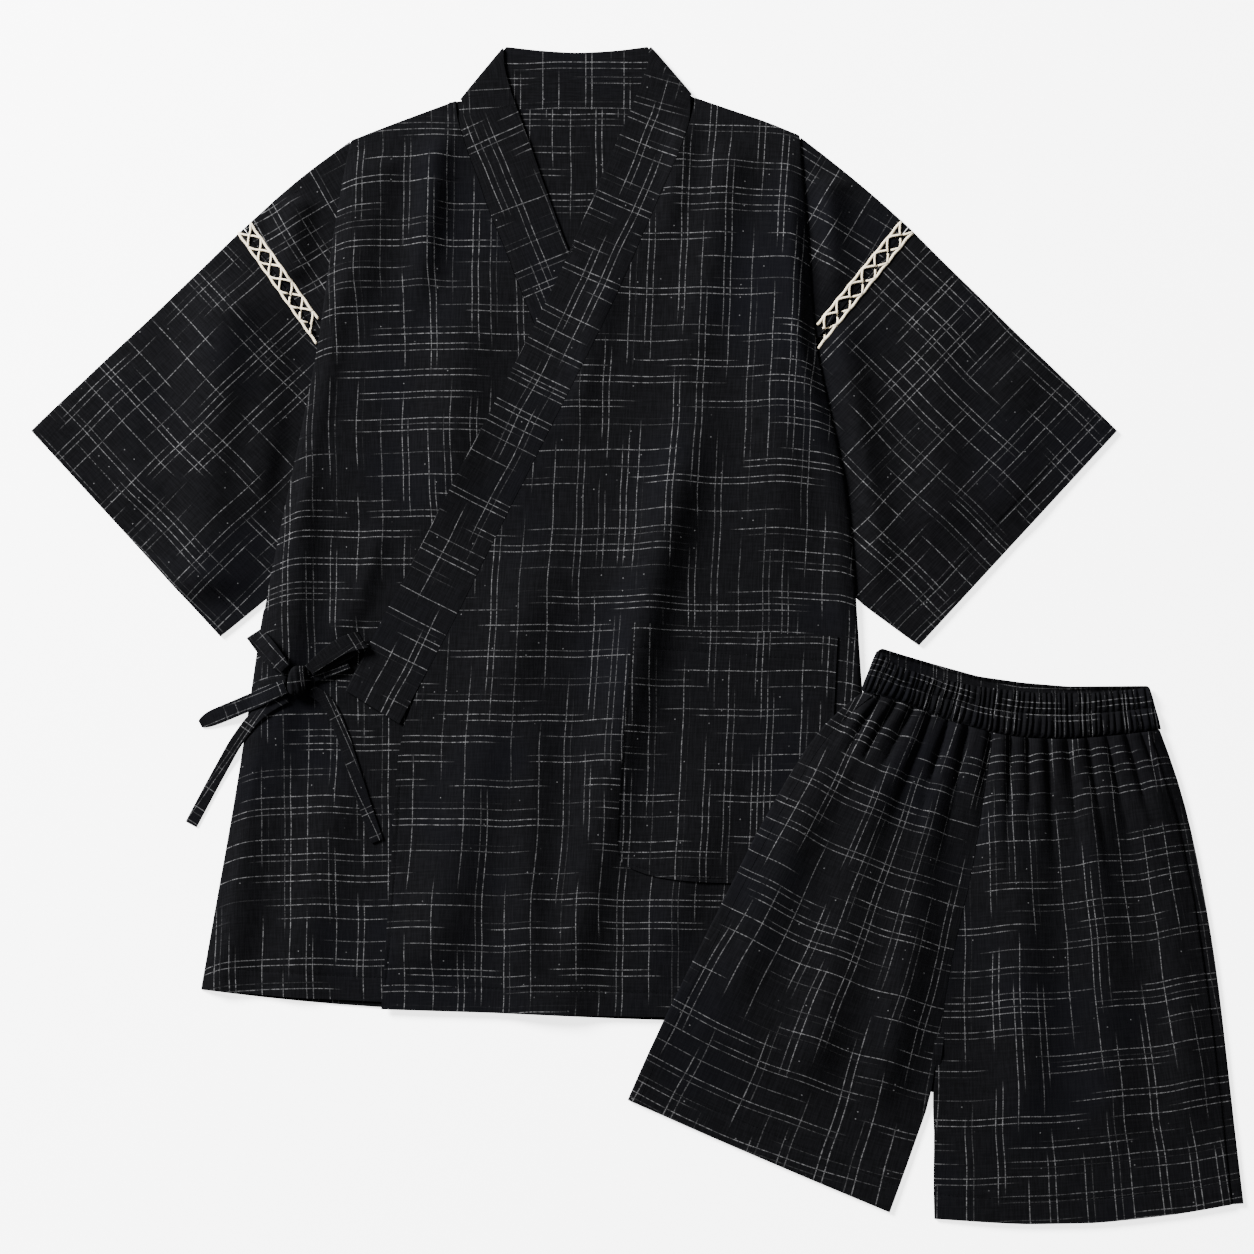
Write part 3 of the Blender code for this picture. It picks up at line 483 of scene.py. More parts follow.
def chances(tree, dimensions, x, y, z=0.0):
    """Three random numbers from 0 to 1 for each place."""
    place = put(tree, "ShaderNodeCombineXYZ", {"X": x, "Y": y, "Z": z})
    pick = put(tree, "ShaderNodeTexWhiteNoise", {"Vector": place.outputs[0]},
               noise_dimensions=dimensions)
    return put(tree, "ShaderNodeSeparateColor", {"Color": pick.outputs["Color"]}).outputs


def shaded(tree, share, dark, light, low=0.0, high=1.0):
    """A colour that is dark up to low and light from high on."""
    node = put(tree, "ShaderNodeValToRGB", {"Fac": share})
    for element, place, colour in zip(node.color_ramp.elements, (low, high), (dark, light)):
        element.position = place
        element.color = (*colour, 1)
    return node.outputs["Color"]


def mixed(tree, share, first, second):
    node = put(tree, "ShaderNodeMix", {"Factor": share, "A": first, "B": second}, data_type="RGBA")
    return node.outputs["Result"]


def add_relief(tree, shader, height, strength):
    bump = put(tree, "ShaderNodeBump", {"Height": height, "Strength": strength, "Distance": 0.0004})
    tree.links.new(bump.outputs[0], shader.inputs["Normal"])


# %% [markdown]
# About every 17 mm one or two off-white yarns are woven into the black cotton, both ways, and dyed so
# that each comes and goes. One node group draws such a family of lines from two numbers, the place
# across the lines and the place along them, both in metres. A picture of the cloth would be quicker,
# but it would repeat and go soft close up.

# %% The woven lines
LINE_WANDER = 0.0034     # metres that a yarn strays from side to side
PAIR_GAP = 0.0048        # from the first to the second yarn of a pair
YARN_THIN = 0.0002       # half the width of a yarn, where it is thin,
YARN_SLUB = 0.00028      # and what its thick places add
DASH_SHORT = 0.10        # a yarn shows once in each stretch of this length,
DASH_MORE = 0.17         # or up to this much more
LINE_INPUTS = ("Across", "Along", "Spacing", "Seed")


def line_family():
    """Broken lines, single or in pairs, each in its own strip of the spacing."""
    tree, given, result = new_group("broken lines", LINE_INPUTS, ["Lines"])
    across, along, spacing, seed = given.outputs[:4]
    drift = noise(tree, calc(tree, "MULTIPLY_ADD", along, 14.0, seed), 1.0, "1D")
    across = calc(tree, "MULTIPLY_ADD", calc(tree, "SUBTRACT", drift, 0.5), LINE_WANDER, across)
    cell = calc(tree, "FLOOR", calc(tree, "DIVIDE", across, spacing))
    chance = chances(tree, "2D", cell, seed)
    jitter = calc(tree, "MULTIPLY_ADD", chance[0], 0.55, 0.08)
    place = calc(tree, "MULTIPLY", calc(tree, "ADD", cell, jitter), spacing)
    total = None
    for number, gap in enumerate((0.0, PAIR_GAP)):
        # how far a point lies from the yarn, and where in its dash
        offset = calc(tree, "ABSOLUTE", calc(tree, "SUBTRACT", across, calc(tree, "ADD", place, gap)))
        length = calc(tree, "MULTIPLY_ADD", chance[1], DASH_MORE, DASH_SHORT)
        phase = calc(tree, "MULTIPLY_ADD", chance[2], 31.0, 0.09 * number)
        steps = calc(tree, "ADD", calc(tree, "DIVIDE", along, length), phase)
        part = calc(tree, "FLOOR", steps)
        share = calc(tree, "FRACT", steps)
        luck = chances(tree, "3D", cell, part, calc(tree, "ADD", seed, 3.7 * number))
        begins = calc(tree, "MULTIPLY", luck[1], 0.22)
        ends = calc(tree, "SUBTRACT", 1.0, calc(tree, "MULTIPLY", luck[2], 0.22))
        opening = soft_step(tree, calc(tree, "SUBTRACT", share, begins), 0.0, 0.09)
        closing = soft_step(tree, calc(tree, "SUBTRACT", share, ends), -0.12, 0.0, 1.0, 0.0)
        strength = soft_step(tree, luck[0], -0.35 + 0.5 * number, 0.8)
        # the yarn's own thickness, and the small breaks in its dye
        fuzz = noise(tree, calc(tree, "MULTIPLY_ADD", along, 620.0, seed), 2.0, "1D")
        slub = noise(tree, calc(tree, "MULTIPLY_ADD", along, 150.0, calc(tree, "MULTIPLY", cell, 9.1)),
                     1.0, "1D")
        width = calc(tree, "MULTIPLY_ADD", slub, YARN_SLUB, YARN_THIN)
        profile = soft_step(tree, calc(tree, "DIVIDE", offset, width), 0.3, 1.2, 1.0, 0.0)
        broken = soft_step(tree, fuzz, 0.34, 0.56, 0.2, 1.0)
        uneven = soft_step(tree, slub, 0.25, 0.65, 0.35, 1.0)
        line = calc(tree, "MULTIPLY", calc(tree, "MULTIPLY", profile, strength),
                    calc(tree, "MULTIPLY", opening, closing))
        line = calc(tree, "MULTIPLY", line, calc(tree, "MULTIPLY", broken, uneven))
        total = line if total is None else calc(tree, "MAXIMUM", total, line)
    tree.links.new(total, result.inputs["Lines"])
    return tree


broken_lines = line_family()
print("nodes that draw the woven lines:", len(broken_lines.nodes))

# %% [markdown]
# Between the lines the cloth is a plain weave with slubs, which are short thick places in its yarns.
# They make the black a little lighter and darker, and a few pale specks of fibre lie on it.

# %% The black cloth
YARN_PITCH = 0.0011
FLECK_CELL = 0.009
LINE_SPACING = (0.0185, 0.0165)
LINE_STRENGTH = 0.8


def slubby_weave():
    """A height for the yarns, and a slub that makes them lighter or darker."""
    tree, given, result = new_group("slubby weave", ["Cloth"], ["Height", "Slub"], "NodeSocketVector")
    grain = given.outputs["Cloth"]
    place = put(tree, "ShaderNodeSeparateXYZ", {"Vector": grain})
    waves = []
    for way in place.outputs[:2]:
        waves.append(calc(tree, "SINE", calc(tree, "MULTIPLY", way, 2 * math.pi / YARN_PITCH)))
    over = calc(tree, "MULTIPLY", *waves)
    streaks = []
    for stretch in ((900.0, 70.0, 1.0), (60.0, 700.0, 1.0)):
        stretched = put(tree, "ShaderNodeMapping", {"Vector": grain, "Scale": stretch})
        streaks.append(noise(tree, stretched.outputs[0], 2.0))
    slub = calc(tree, "MULTIPLY_ADD", streaks[0], 0.62, calc(tree, "MULTIPLY", streaks[1], 0.38))
    tree.links.new(calc(tree, "MULTIPLY_ADD", over, 0.25, slub), result.inputs["Height"])
    tree.links.new(slub, result.inputs["Slub"])
    return tree


def flecks(tree, u, v):
    """A few pale specks of fibre, each in its own small cell."""
    place = put(tree, "ShaderNodeCombineXYZ", {"X": calc(tree, "DIVIDE", u, FLECK_CELL),
                                               "Y": calc(tree, "DIVIDE", v, FLECK_CELL)})
    spots = put(tree, "ShaderNodeTexVoronoi", {"Vector": place.outputs[0], "Scale": 1.0},
                voronoi_dimensions="2D")
    chance = put(tree, "ShaderNodeSeparateColor", {"Color": spots.outputs["Color"]})
    rare = soft_step(tree, chance.outputs[0], 0.93, 0.97)
    speck = soft_step(tree, spots.outputs["Distance"], 0.03, 0.07, 0.6, 0.0)
    return calc(tree, "MULTIPLY", rare, speck)


def make_cloth():
    material, tree, shader = new_material("black slub cotton", {
        "Roughness": 0.88, "Specular IOR Level": 0.0, "Sheen Weight": 0.002, "Sheen Roughness": 0.6})
    grain = put(tree, "ShaderNodeUVMap", {}, uv_map="cloth").outputs[0]
    u, v = put(tree, "ShaderNodeSeparateXYZ", {"Vector": grain}).outputs[:2]
    families = []
    for across, along, spacing, seed in ((u, v, LINE_SPACING[0], 1.0), (v, u, LINE_SPACING[1], 3.0)):
        family = tree.nodes.new("ShaderNodeGroup")
        family.node_tree = broken_lines
        for label, value in zip(LINE_INPUTS, (across, along, spacing, seed)):
            fill(tree, family.inputs[label], value)
        families.append(family.outputs["Lines"])
    lines = calc(tree, "MULTIPLY", calc(tree, "MAXIMUM", *families), LINE_STRENGTH)
    weave = tree.nodes.new("ShaderNodeGroup")
    weave.node_tree = slubby_weave()
    tree.links.new(grain, weave.inputs["Cloth"])
    black = shaded(tree, soft_step(tree, weave.outputs["Slub"], 0.3, 0.72),
                   (0.0016, 0.0016, 0.0018), (0.0027, 0.0027, 0.0031))
    dye = soft_step(tree, noise(tree, grain, 2.0, scale=9.0), 0.45, 0.8, 0.0, 0.45)
    black = mixed(tree, dye, black, (0.0020, 0.0021, 0.0030, 1))
    marks = calc(tree, "MAXIMUM", lines, flecks(tree, u, v))
    dyed = mixed(tree, marks, black, (0.074, 0.074, 0.076, 1))
    tree.links.new(dyed, shader.inputs["Base Color"])
    add_relief(tree, shader, weave.outputs["Height"], 0.55)
    material.diffuse_color = (0.01, 0.01, 0.011, 1)
    return material


cloth = make_cloth()
print("nodes of the cloth:", len(cloth.node_tree.nodes))

# %% [markdown]
# The braid of the lace and the sewing thread are twisted yarn: matt, with fine ridges; the grooves
# between them are darkened with painted shade.


# %% The braid and the thread
def make_thread(name, colour, ridge):
    material, tree, shader = new_material(name, {"Roughness": 0.8, "Specular IOR Level": 0.0})
    place = tree.nodes.new("ShaderNodeTexCoord").outputs["Object"]
    twist = noise(tree, place, 2.0, "3D", ridge)
    # painted shade: the colour falls to 0.62 of itself where the twist's height is low, in the grooves
    dark = [part * 0.62 for part in colour]
    tree.links.new(shaded(tree, twist, dark, colour, 0.3, 0.7), shader.inputs["Base Color"])
    add_relief(tree, shader, twist, 0.6)
    material.diffuse_color = (*colour, 1)
    return material


cream = make_thread("cream braid", (0.62, 0.54, 0.40), 1800.0)
black_thread = make_thread("black thread", (0.0016, 0.0016, 0.0018), 1500.0)
print("materials:", ", ".join(m.name for m in (cloth, cream, black_thread)))

# %% [markdown]
# The jacket's body: the back lies flat on the surface, the right front lies on it, and the left front
# lies over both. The fronts' side edges are soft folds, so the cloth rolls there, and the woven lines
# sink towards the roll.


# %% The body of the jacket
def body_grain(seed, lean=0.0):
    """Straight with the body, but leaning a little, and drawn sideways where a fold takes cloth up."""
    def along_across(x, y, z):
        right = np.maximum(fold_distance(FOLD_RIGHT, x, y), 0.0)
        left = np.maximum(-fold_distance(FOLD_LEFT, x, y), 0.0)
        droop = DROOP * (np.exp(-right / DROOP_REACH) + np.exp(-left / DROOP_REACH))
        lift = body_lift(x, y)
        return shifted(x - lean * y + 0.3 * lift, y + droop - 0.22 * lift, seed)
    return along_across


made = {}


def make_sheet(node, grain, lift=None, weight=None, lines=(), levels=1, cell=CELL, under=CELL_UNDER,
               crisp=1.0, fine=()):
    piece = smooth_copy("cloth_" + node, node, levels, crisp)
    refine(piece, cell, under, [(line, LINE_REACH, CELL_LINE) for line in lines] + list(fine))
    lay_grain(piece, grain)
    if lift is not None:
        press(piece, lambda x, y: lift(x, y) + groove(lines, x, y), weight)
    finish_sheet(piece, node)
    made[node] = piece
    return piece


HEM_RIGHT = [(-338, -257), (-300, -262), (-232, -266), (-140, -270), (-40, -276), (59, -279)]
HEM_LEFT = [(-198, -273), (-107, -276), (-29, -278), (60, -280), (140, -277), (200, -269)]
FRONT_EDGE = [(-185.5, -118), (-188.5, -175), (-192.5, -232), (-196, -270)]
POCKET_SIDES = [(-1.8, 9), (-4.8, -33), (-8.8, -77), (-11.8, -121), (-14.8, -164), (-13, -173),
                (-3, -179.5), (14, -185.5), (43, -188.5), (75, -190.5), (110, -189.5), (128, -186),
                (139, -179.5), (143.8, -173), (147.8, -126), (149.8, -84), (151.8, -42), (153.8, -2)]
POCKET_HEM = [(-3, -9), (36, -12), (76, -15), (116, -18), (153, -20)]
back = make_sheet("back", turned(0, 1), cell=6.0, under=30.0)
front_right = make_sheet("front_right", body_grain(2), body_lift, lines=[HEM_RIGHT])
front_left = make_sheet("front_left", body_grain(3, 0.045), body_lift, lines=[HEM_LEFT, FRONT_EDGE])
pocket = make_sheet("pocket", body_grain(4, 0.04), body_lift, cell=3.0, lines=[POCKET_SIDES, POCKET_HEM])

# the neck seam is drawn tight: the back's top edge moves up to meet the collar
NECK_EDGE = 0.4095
NECK_SIDES = (-0.126, 0.032)
NECK_PULL = 0.0006
points = coordinates(back.data)
between = (points[:, 0] > NECK_SIDES[0]) & (points[:, 0] < NECK_SIDES[1])
points[between & (points[:, 1] > NECK_EDGE), 1] += NECK_PULL
back.data.vertices.foreach_set("co", points.ravel())
print("faces of the overlap:", len(front_left.data.polygons))

# %% [markdown]
# The collar is one long band. Its cloth was cut along the band, so its lines run along and across it
# everywhere, and the sheet's own coordinates follow the band's middle line.


# %% The collar
BEHIND_NECK = 1.8     # the part of the band behind the neck lies lower than this
ON_RIGHT = 4.2        # and its right half, which the left one covers, lower than this


def collar_grain(x, y, z):
    """Across and along the half that a point lies on, or straight where the band is behind the neck."""
    on_right = np.where(y > 300.0, x < -50.0, z <= ON_RIGHT)
    behind = z <= BEHIND_NECK
    u, v = y + 4000.0, x + 5000.0
    for line, part, seed in ((COLLAR_LINE_RIGHT, on_right, 5.0), (COLLAR_LINE_LEFT, ~on_right, 6.0)):
        along, beside, _ = nearest_on(line, x, y)
        beside, along = shifted(beside, along, seed)
        u = np.where(part & ~behind, beside, u)
        v = np.where(part & ~behind, along, v)
    return u, v


collar = make_sheet("collar", collar_grain, body_lift, lambda x, y, z: ease(1.6, 2.0, z), cell=3.0)
print("faces of the collar:", len(collar.data.polygons))

# %% [markdown]
# Sleeves and dropped shoulders are single cloths folded over the top of the arm. Only the upper layer
# is lifted by folds; the lower one lies on the surface.

# %% Sleeves and shoulders
SLEEVE_GRAIN = {"sleeve_right": 44, "sleeve_left": -44, "shoulder_right": 31, "shoulder_left": -31}
CUFFS = {
    "sleeve_right": [[(-461, 173), (-449, 161), (-326, 30), (-312, 14)]],
    "sleeve_left": [[(362, 173), (350, 161), (220, 22), (207, 8)]],
}
for number, (node, turn) in enumerate(SLEEVE_GRAIN.items()):
    make_sheet(node, turned(turn, 7 + number), sleeve_lift(node),
               lambda x, y, z: ease(1.2, 2.0, z), lines=CUFFS.get(node, ()))
print("sheets so far:", len(made))

# %% [markdown]
# The legs hang from the waistband's seam. Close gathers start there, lean with the leg and run out
# after a few centimetres, and a few broad folds go on towards the hem.


# %% The legs of the shorts
def fanned(centre_x, centre_y, radius, seed):
    """Lines that spread from the waist: round a far point, and away from it."""
    def along_across(x, y, z):
        angle = np.arctan2(x - centre_x, centre_y - y)
        away = np.hypot(x - centre_x, y - centre_y) + 0.4 * leg_lift(x, y)
        return shifted(angle * radius, away, seed)
    return along_across


def above_ground(x, y, z):
    return ease(1.25, 2.0, z - jacket_rise(x, y))


LEG_FANS = {"right": (368, 313, 560, 12), "left": (248, 844, 1100, 13)}
LEG_LINES = {
    "right": [[(0, -346), (66, -373), (134, -402), (203, -430)],
              [(160, -57), (163, -64), (169, -69), (183, -70)],
              [(159, -59), (161.5, -66), (168, -71.5), (183, -73)]],
    "left": [[(232, -437), (298, -441), (361, -440), (425, -433), (470, -425)],
             SIDE_SEAM],
}
for side, fan in LEG_FANS.items():
    make_sheet("leg_front_" + side, fanned(*fan), leg_lift, cell=2.8, under=6.0,
               lines=LEG_LINES[side], fine=[(WAIST_LOW, GATHER_REACH, CELL_GATHER)])
    make_sheet("leg_back_" + side, fanned(*fan), leg_lift, above_ground, cell=5.0, under=8.0)
print("faces of a leg:", len(made["leg_front_right"].data.polygons))


# %% [markdown]
# The waistband is a ring of cloth drawn up by elastic. A row of stitches along its middle makes two
# rows of puffs, and each gather runs across both.

# %% The waistband
def band_share(x, y):
    """0 at the seam and 1 at the top edge of the front band."""
    top = np.interp(x, [188, 202, 230, 266, 310, 355, 398], [-12, -23, -32, -39, -44, -44, -40])
    return np.clip((y - waist_y(x)) / (top - waist_y(x)), 0.0, 1.0)


def along_band(x, y):
    """Where on the band a gather starts: gathers lean with the band's two ends."""
    lean = np.interp(x, [186, 250, 330, 400], [-11.0, -7.0, 0.0, 5.0])
    return x + lean * (band_share(x, y) - 0.5)


def band_lift(x, y):
    share = band_share(x, y)
    puffs = np.abs(np.sin(math.pi * share * 2.0)) ** 0.35
    along = along_band(x, y) + 0.6 * np.sin(0.9 * share * math.pi + 0.11 * x)
    beat = along * math.pi / 4.4 + 0.5 * np.sin(along * 0.23) + 0.3 * np.sin(along * 0.61 + 1.0)
    gathers = np.abs(np.cos(beat))
    tall = 1.0 + 0.2 * np.sin(along * 0.47 + 2.0)
    return puffs * (0.4 + 2.3 * tall * gathers)


def band_grain(x, y, z):
    """Along the band, close together where the elastic gathers it, and across it."""
    return shifted(along_band(x, y) * 1.9, (y - waist_y(x)) * 1.1, 16)


def band_upper(x, y, z):
    return ease(2.2, 3.2, z - jacket_rise(x, y))


def back_rim(x, y):
    """The back band shows above the front one: a gathered rim, with a dark hollow below it."""
    top = np.interp(x, [190, 206, 230, 266, 301, 337, 398], [-9, -14, -21, -31, -36, -39, -38.5])
    beat = (x + 0.1 * y) * math.pi / 4.9 + 0.8 * np.sin(x * 0.31)
    gathers = 0.4 + 0.6 * np.abs(np.cos(beat)) ** 0.7
    return 2.2 * gathers * ease(0.0, 1.0, top - y) * (1.0 - ease(2.0, 4.2, top - y))


def band_lower(x, y, z):
    return 1.0 - ease(1.6, 2.2, z - jacket_rise(x, y))


waistband = make_sheet("waistband", band_grain, band_lift, band_upper, levels=2, cell=1.0, under=4.0)
press(waistband, back_rim, band_lower)
print("faces of the waistband:", len(waistband.data.polygons))

# %% [markdown]
# The bow is tied from two narrow tapes. Each loop and tail is its own sheet, folded and pressed flat,
# and the knot is the same tape wound round them.

# %% The bow
TAPE_TURN = {
    "tie_side": 10, "tie_collar": 20, "bow_loop_right": 32, "bow_loop_left": -48,
    "bow_tail_short": 22, "bow_tail_long": 55, "bow_tail_right": -66,
}
for number, (node, turn) in enumerate(TAPE_TURN.items()):
    make_sheet(node, turned(turn, 18 + number, (1.0, 1.6)), body_lift, levels=2, cell=1.6, under=3.0,
               crisp=0.4)


def wound(x, y):
    """The knot's turns of tape show as upright ridges."""
    return body_lift(x, y) + 0.9 * np.abs(np.cos((x + 264.5 + 0.15 * (y + 35.0)) * math.pi / 5.2))


make_sheet("bow_knot", turned(6, 27, (2.2, 1.0)), wound, levels=2, cell=0.9, under=2.0, crisp=0.4)
print("sheets:", len(made))


# %% [markdown]
# The lace over the shoulder seam is a cream insertion braid: two flat rails with threads crossing
# between them. Each is a flat cord swept along its path, because the crossings are what shows.

# %% The lace
def surface(*pieces):
    trees = []
    for piece in pieces:
        trees.append(BVHTree.FromPolygons([v.co[:] for v in piece.data.vertices],
                                          [p.vertices[:] for p in piece.data.polygons]))

    def height(x, y):
        found = [tree.ray_cast((x * MM, y * MM, 0.1), (0, 0, -1))[0] for tree in trees]
        found = [point.z for point in found if point is not None]
        return max(found) / MM if found else 0.0
    return height


def cord_mesh(form, path, wide, tall, sides=8):
    """Sweep a flat oval along a path of points in millimetres."""
    rings = []
    for number, point in enumerate(path):
        before = path[max(number - 1, 0)]
        after = path[min(number + 1, len(path) - 1)]
        dx, dy = after[0] - before[0], after[1] - before[1]
        length = math.hypot(dx, dy)
        ax, ay = -dy / length, dx / length
        ring = []
        for side in range(sides):
            angle = 2 * math.pi * side / sides
            across, up = wide / 2 * math.cos(angle), tall / 2 * math.sin(angle)
            ring.append(form.verts.new(((point[0] + ax * across) * MM, (point[1] + ay * across) * MM,
                                        (point[2] + up) * MM)))
        rings.append(ring)
    for first, second in zip(rings, rings[1:]):
        for side in range(sides):
            after = (side + 1) % sides
            form.faces.new((first[side], first[after], second[after], second[side]))
    form.faces.new(rings[0][::-1])
    form.faces.new(rings[-1])


def add_form(name, form, material, smooth=True):
    bmesh.ops.recalc_face_normals(form, faces=form.faces)
    mesh = bpy.data.meshes.new(name)
    form.to_mesh(mesh)
    form.free()
    mesh.materials.append(material)
    if smooth:
        mesh.shade_smooth()
    piece = add_object(name, mesh)
    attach(piece, "root")
    return piece


CROSSINGS = 7          # how often the threads cross in one lace
MARGIN = 0.8           # the lace's end, without a crossing
RAIL_OFFSET = 6.0      # each rail lies this far from the middle
RAIL_SIZE = (2.0, 1.4)
THREAD_SIZE = (1.55, 1.15)


def make_lace(node, start, end, cut, below):
    """Two rails and the crossing threads, laid on the sleeve and the shoulder; cut slants the end."""
    length = math.dist(start, end)
    ux, uy = (end[0] - start[0]) / length, (end[1] - start[1]) / length
    shake = random.Random(node)
    form = bmesh.new()
    pitch = (length - 2 * MARGIN) / CROSSINGS

    def at(s, w, lift):
        x, y = start[0] + ux * s - uy * w, start[1] + uy * s + ux * w
        return (x, y, below(x, y) + lift)
    for side in (1, -1):
        reach = length - cut * side
        steps = int(reach / 1.6)
        path = []
        for step in range(steps + 1):
            s = reach * step / steps
            path.append(at(s, side * (RAIL_OFFSET + 0.25 * math.sin(s * 0.43 + side)), 0.75))
        cord_mesh(form, path, *RAIL_SIZE)
    for side in (1, -1):
        for number in range(-1, CROSSINGS):
            path = []
            for step in range(13):
                t = step / 12
                s = MARGIN + (number + t) * pitch
                straight = 1.0 - 2.0 * t
                w = side * RAIL_OFFSET * (0.72 * straight + 0.28 * math.cos(math.pi * t))
                bow = 0.3 * math.sin(2 * math.pi * t) + shake.uniform(-0.15, 0.15)
                if 0.0 < s < length - cut * (1 if w > 0 else -1):
                    weave = 0.45 * math.sin(math.pi * t) * (1 if (number + (side > 0)) % 2 else -0.4)
                    path.append(at(s + bow, w, 1.0 + weave))
            if len(path) > 3:
                cord_mesh(form, path, *THREAD_SIZE)
    piece = add_form("braid_" + node, form, cream)
    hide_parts(node)
    return piece


lace_right = make_lace("lace_right", (-307.5, 318.5), (-250.0, 237.3), 7.5,
                       surface(made["sleeve_right"], made["shoulder_right"]))
lace_left = make_lace("lace_left", (210.5, 319.3), (140.6, 233.2), -7.0,
                      surface(made["sleeve_left"], made["shoulder_left"]))
print("faces of one lace:", len(lace_right.data.polygons))

# %% [markdown]
# Behind a seam lie the turned-in edges of both pieces. Where two panels would leave a hairline, they
# are made, as narrow strips of the same cloth. The rows of stitches are black thread: short rounded
# bars along the hems, the front edge, the pockets, the side seam and the waistband.


# %% Seam edges and stitches
EDGE_WALL = 0.35


def strip(name, line, wide, low):
    """A narrow strip of cloth along a line, low millimetres over whatever holds the piece up."""
    form = bmesh.new()
    steps = []
    for (x1, y1), (x2, y2) in zip(line, line[1:]):
        pieces = max(int(math.hypot(x2 - x1, y2 - y1) / 4.0), 1)
        steps += [(x1 + (x2 - x1) * n / pieces, y1 + (y2 - y1) * n / pieces) for n in range(pieces)]
    steps.append(line[-1])
    path = []
    for x, y in steps:
        ground = float(jacket_rise(x, y)) if x > -10 and y < 0 else 0.0
        path.append((x, y, ground + low + EDGE_WALL / 2))
    cord_mesh(form, path, wide, EDGE_WALL, sides=4)
    piece = add_form(name, form, cloth, smooth=False)
    lay_grain(piece, turned(0, 40))
    return piece


CENTRE_SEAM = [(277, -76), (272, -110), (267, -148), (259, -197), (244, -252), (236, -310), (230, -357)]
SEAMS = [
    ("lace_right", [(-304, 313), (-240, 224)], 12.0, 1.35),
    ("lace_left", [(207, 314), (131, 221)], 12.0, 1.35),
    ("neck_right", [(-147, 411), (-132, 412.5)], 11.0, 1.25),
    ("neck_left", [(38.5, 417.6), (48, 412.4)], 10.0, 1.25),
    ("neck_fold", [(4, 454.2), (11, 454.6)], 5.5, 0.9),
    ("waist", [(point[0], point[1] - 0.2) for point in WAIST_LOW], 8.0, 1.35),
    ("centre", CENTRE_SEAM, 7.0, 1.35),
]
edges = {name: strip("edges_" + name, line, wide, low) for name, line, wide, low in SEAMS}


def one_stitch():
    """One stitch lying along X: a stretched bead whose two ends dip into the cloth."""
    bpy.ops.object.select_all(action="DESELECT")
    bpy.ops.mesh.primitive_uv_sphere_add(segments=6, ring_count=5, radius=0.5 * MM)
    stitch = bpy.context.object
    bpy.ops.object.mode_set(mode="EDIT")
    bpy.ops.mesh.select_all(action="SELECT")
    bpy.ops.transform.rotate(value=math.pi / 2, orient_axis="Y", center_override=(0, 0, 0))
    bpy.ops.transform.resize(value=(STITCH_LENGTH, 0.6, 0.5))
    bpy.ops.object.mode_set(mode="OBJECT")
    for vertex in stitch.data.vertices:
        vertex.select = abs(vertex.co.x) > 0.3 * STITCH_LENGTH * MM
    bpy.ops.object.mode_set(mode="EDIT")
    bpy.ops.transform.translate(value=(0, 0, -0.2 * MM))
    bpy.ops.object.mode_set(mode="OBJECT")
    corners = np.array([vertex.co[:] for vertex in stitch.data.vertices])
    faces = [list(face.vertices) for face in stitch.data.polygons]
    bpy.data.objects.remove(stitch)
    return corners, faces


def stitches(name, rows):
    """Copies of the one stitch along rows; every row is a line and the surface it is sewn on."""
    corners, faces = one_stitch()
    all_corners, all_faces = [], []
    for line, height in rows:
        marks = [0.0]
        for a, b in zip(line, line[1:]):
            marks.append(marks[-1] + math.dist(a, b))
        xs, ys = zip(*line)
        for number in range(int(marks[-1] / STITCH_STEP)):
            middle = (number + 0.5) * STITCH_STEP
            x, y = np.interp(middle, marks, xs), np.interp(middle, marks, ys)
            before = middle - 0.3
            angle = math.atan2(y - np.interp(before, marks, ys), x - np.interp(before, marks, xs))
            turned_x = corners[:, 0] * math.cos(angle) - corners[:, 1] * math.sin(angle)
            turned_y = corners[:, 0] * math.sin(angle) + corners[:, 1] * math.cos(angle)
            place = np.stack([turned_x + x * MM, turned_y + y * MM,
                              corners[:, 2] + (height(x, y) + 0.1) * MM], axis=1)
            first = len(corners) * len(all_corners)
            all_faces += [[first + corner for corner in face] for face in faces]
            all_corners.append(place)
    mesh = bpy.data.meshes.new(name)
    mesh.from_pydata(np.concatenate(all_corners).tolist(), [], all_faces)
    form = bmesh.new()
    form.from_mesh(mesh)
    piece = add_form(name, form, black_thread)
    return piece


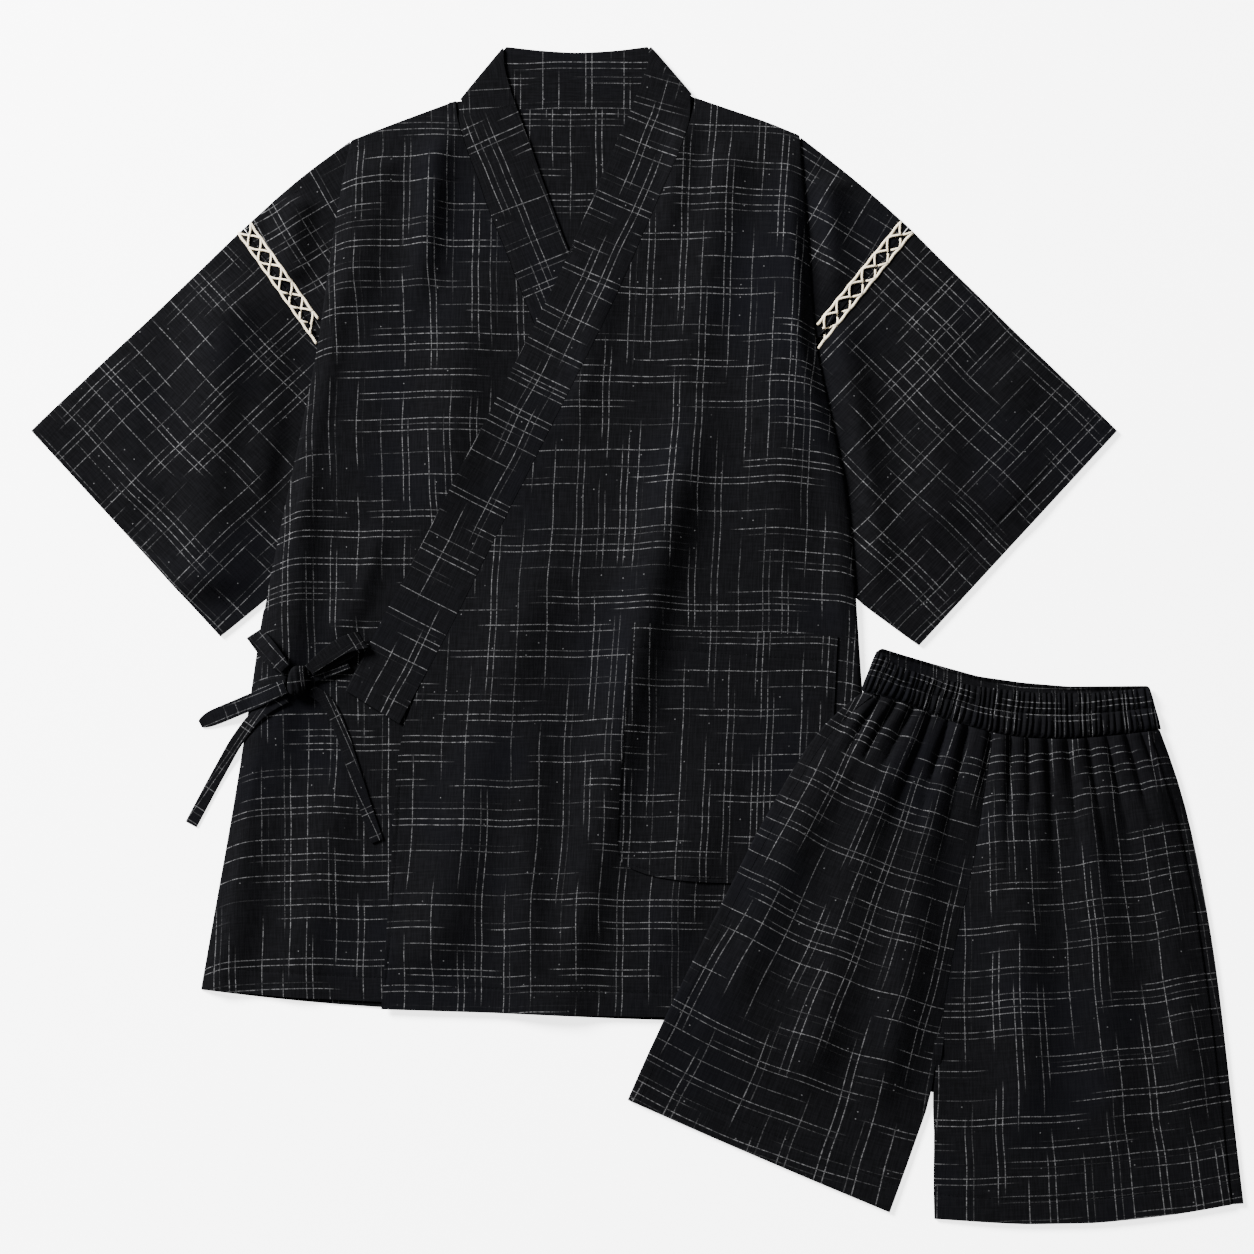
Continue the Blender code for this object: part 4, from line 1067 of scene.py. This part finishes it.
on_left = surface(front_left)
on_right = surface(front_right)
on_pocket = surface(pocket)
jacket_rows = [(HEM_RIGHT[:4], on_right), (HEM_LEFT[:4], on_left), (FRONT_EDGE, on_left),
               (POCKET_SIDES, on_pocket), (POCKET_HEM, on_pocket)]
for node, lines in CUFFS.items():
    jacket_rows.append((lines[0], surface(made[node])))
rows_jacket = stitches("stitches_jacket", jacket_rows)
shorts_rows = []
for side, lines in LEG_LINES.items():
    on_leg = surface(made["leg_front_" + side], made["leg_back_" + side])
    shorts_rows += [(line, on_leg) for line in lines]
on_band = surface(waistband)
WAIST_MIDDLE = [(183, -26), (204, -34), (235, -48), (272, -58), (306, -61), (346, -62), (402, -56)]
shorts_rows.append((WAIST_MIDDLE, on_band))
shorts_rows.append(([(x, y + 2.5) for x, y in WAIST_LOW], on_band))
rows_shorts = stitches("stitches_shorts", shorts_rows)
print("seam edges:", len(SEAMS), "rows of stitches:", len(jacket_rows) + len(shorts_rows))

# %% [markdown]
# A gathered piece was cut wider than it lies.


# %% [markdown]
# A broad soft light from the upper left, an even pale surround and a white floor that glows a little
# give the short soft shadow of a studio picture that is taken from straight above.

# %% Floor, light and camera
FLOOR_SIZE = 30.0          # metres
FLOOR_HEIGHT = -0.0003
KEY_PLACE = (-3.4, 2.75, 2.6)
KEY_SIZE = 1.8
KEY_POWER = 2300.0         # watts
CAMERA_PLACE = (-0.0082, 0.0064, 2.506)

bpy.ops.object.select_all(action="DESELECT")
bpy.ops.mesh.primitive_plane_add(size=FLOOR_SIZE, location=(0, 0, FLOOR_HEIGHT))
floor = bpy.context.object
floor.name = "floor"
paper = new_material("white floor", {
    "Base Color": (0.93, 0.93, 0.935, 1), "Roughness": 0.95, "Specular IOR Level": 0.05,
    "Emission Color": (1, 1, 1, 1), "Emission Strength": 2.6})[0]
floor.data.materials.append(paper)

world = bpy.data.worlds.new("surround")
world.use_nodes = True
world.node_tree.nodes["Background"].inputs["Color"].default_value = (1.0, 1.0, 1.0, 1)
world.node_tree.nodes["Background"].inputs["Strength"].default_value = 0.8
bpy.context.scene.world = world

lamp = bpy.data.lights.new("key", "AREA")
lamp.shape = "DISK"
lamp.size = KEY_SIZE
lamp.energy = KEY_POWER
light = add_object("key", lamp)
light.location = KEY_PLACE
aim = math.atan2(math.hypot(KEY_PLACE[0], KEY_PLACE[1]), KEY_PLACE[2])
light.rotation_euler = (0.0, aim, math.atan2(KEY_PLACE[1], KEY_PLACE[0]))

camera_data = bpy.data.cameras.new("camera")
camera_data.sensor_width = 36.0
camera_data.lens = 92.0
camera = add_object("camera", camera_data)
camera.location = CAMERA_PLACE
bpy.context.scene.camera = camera
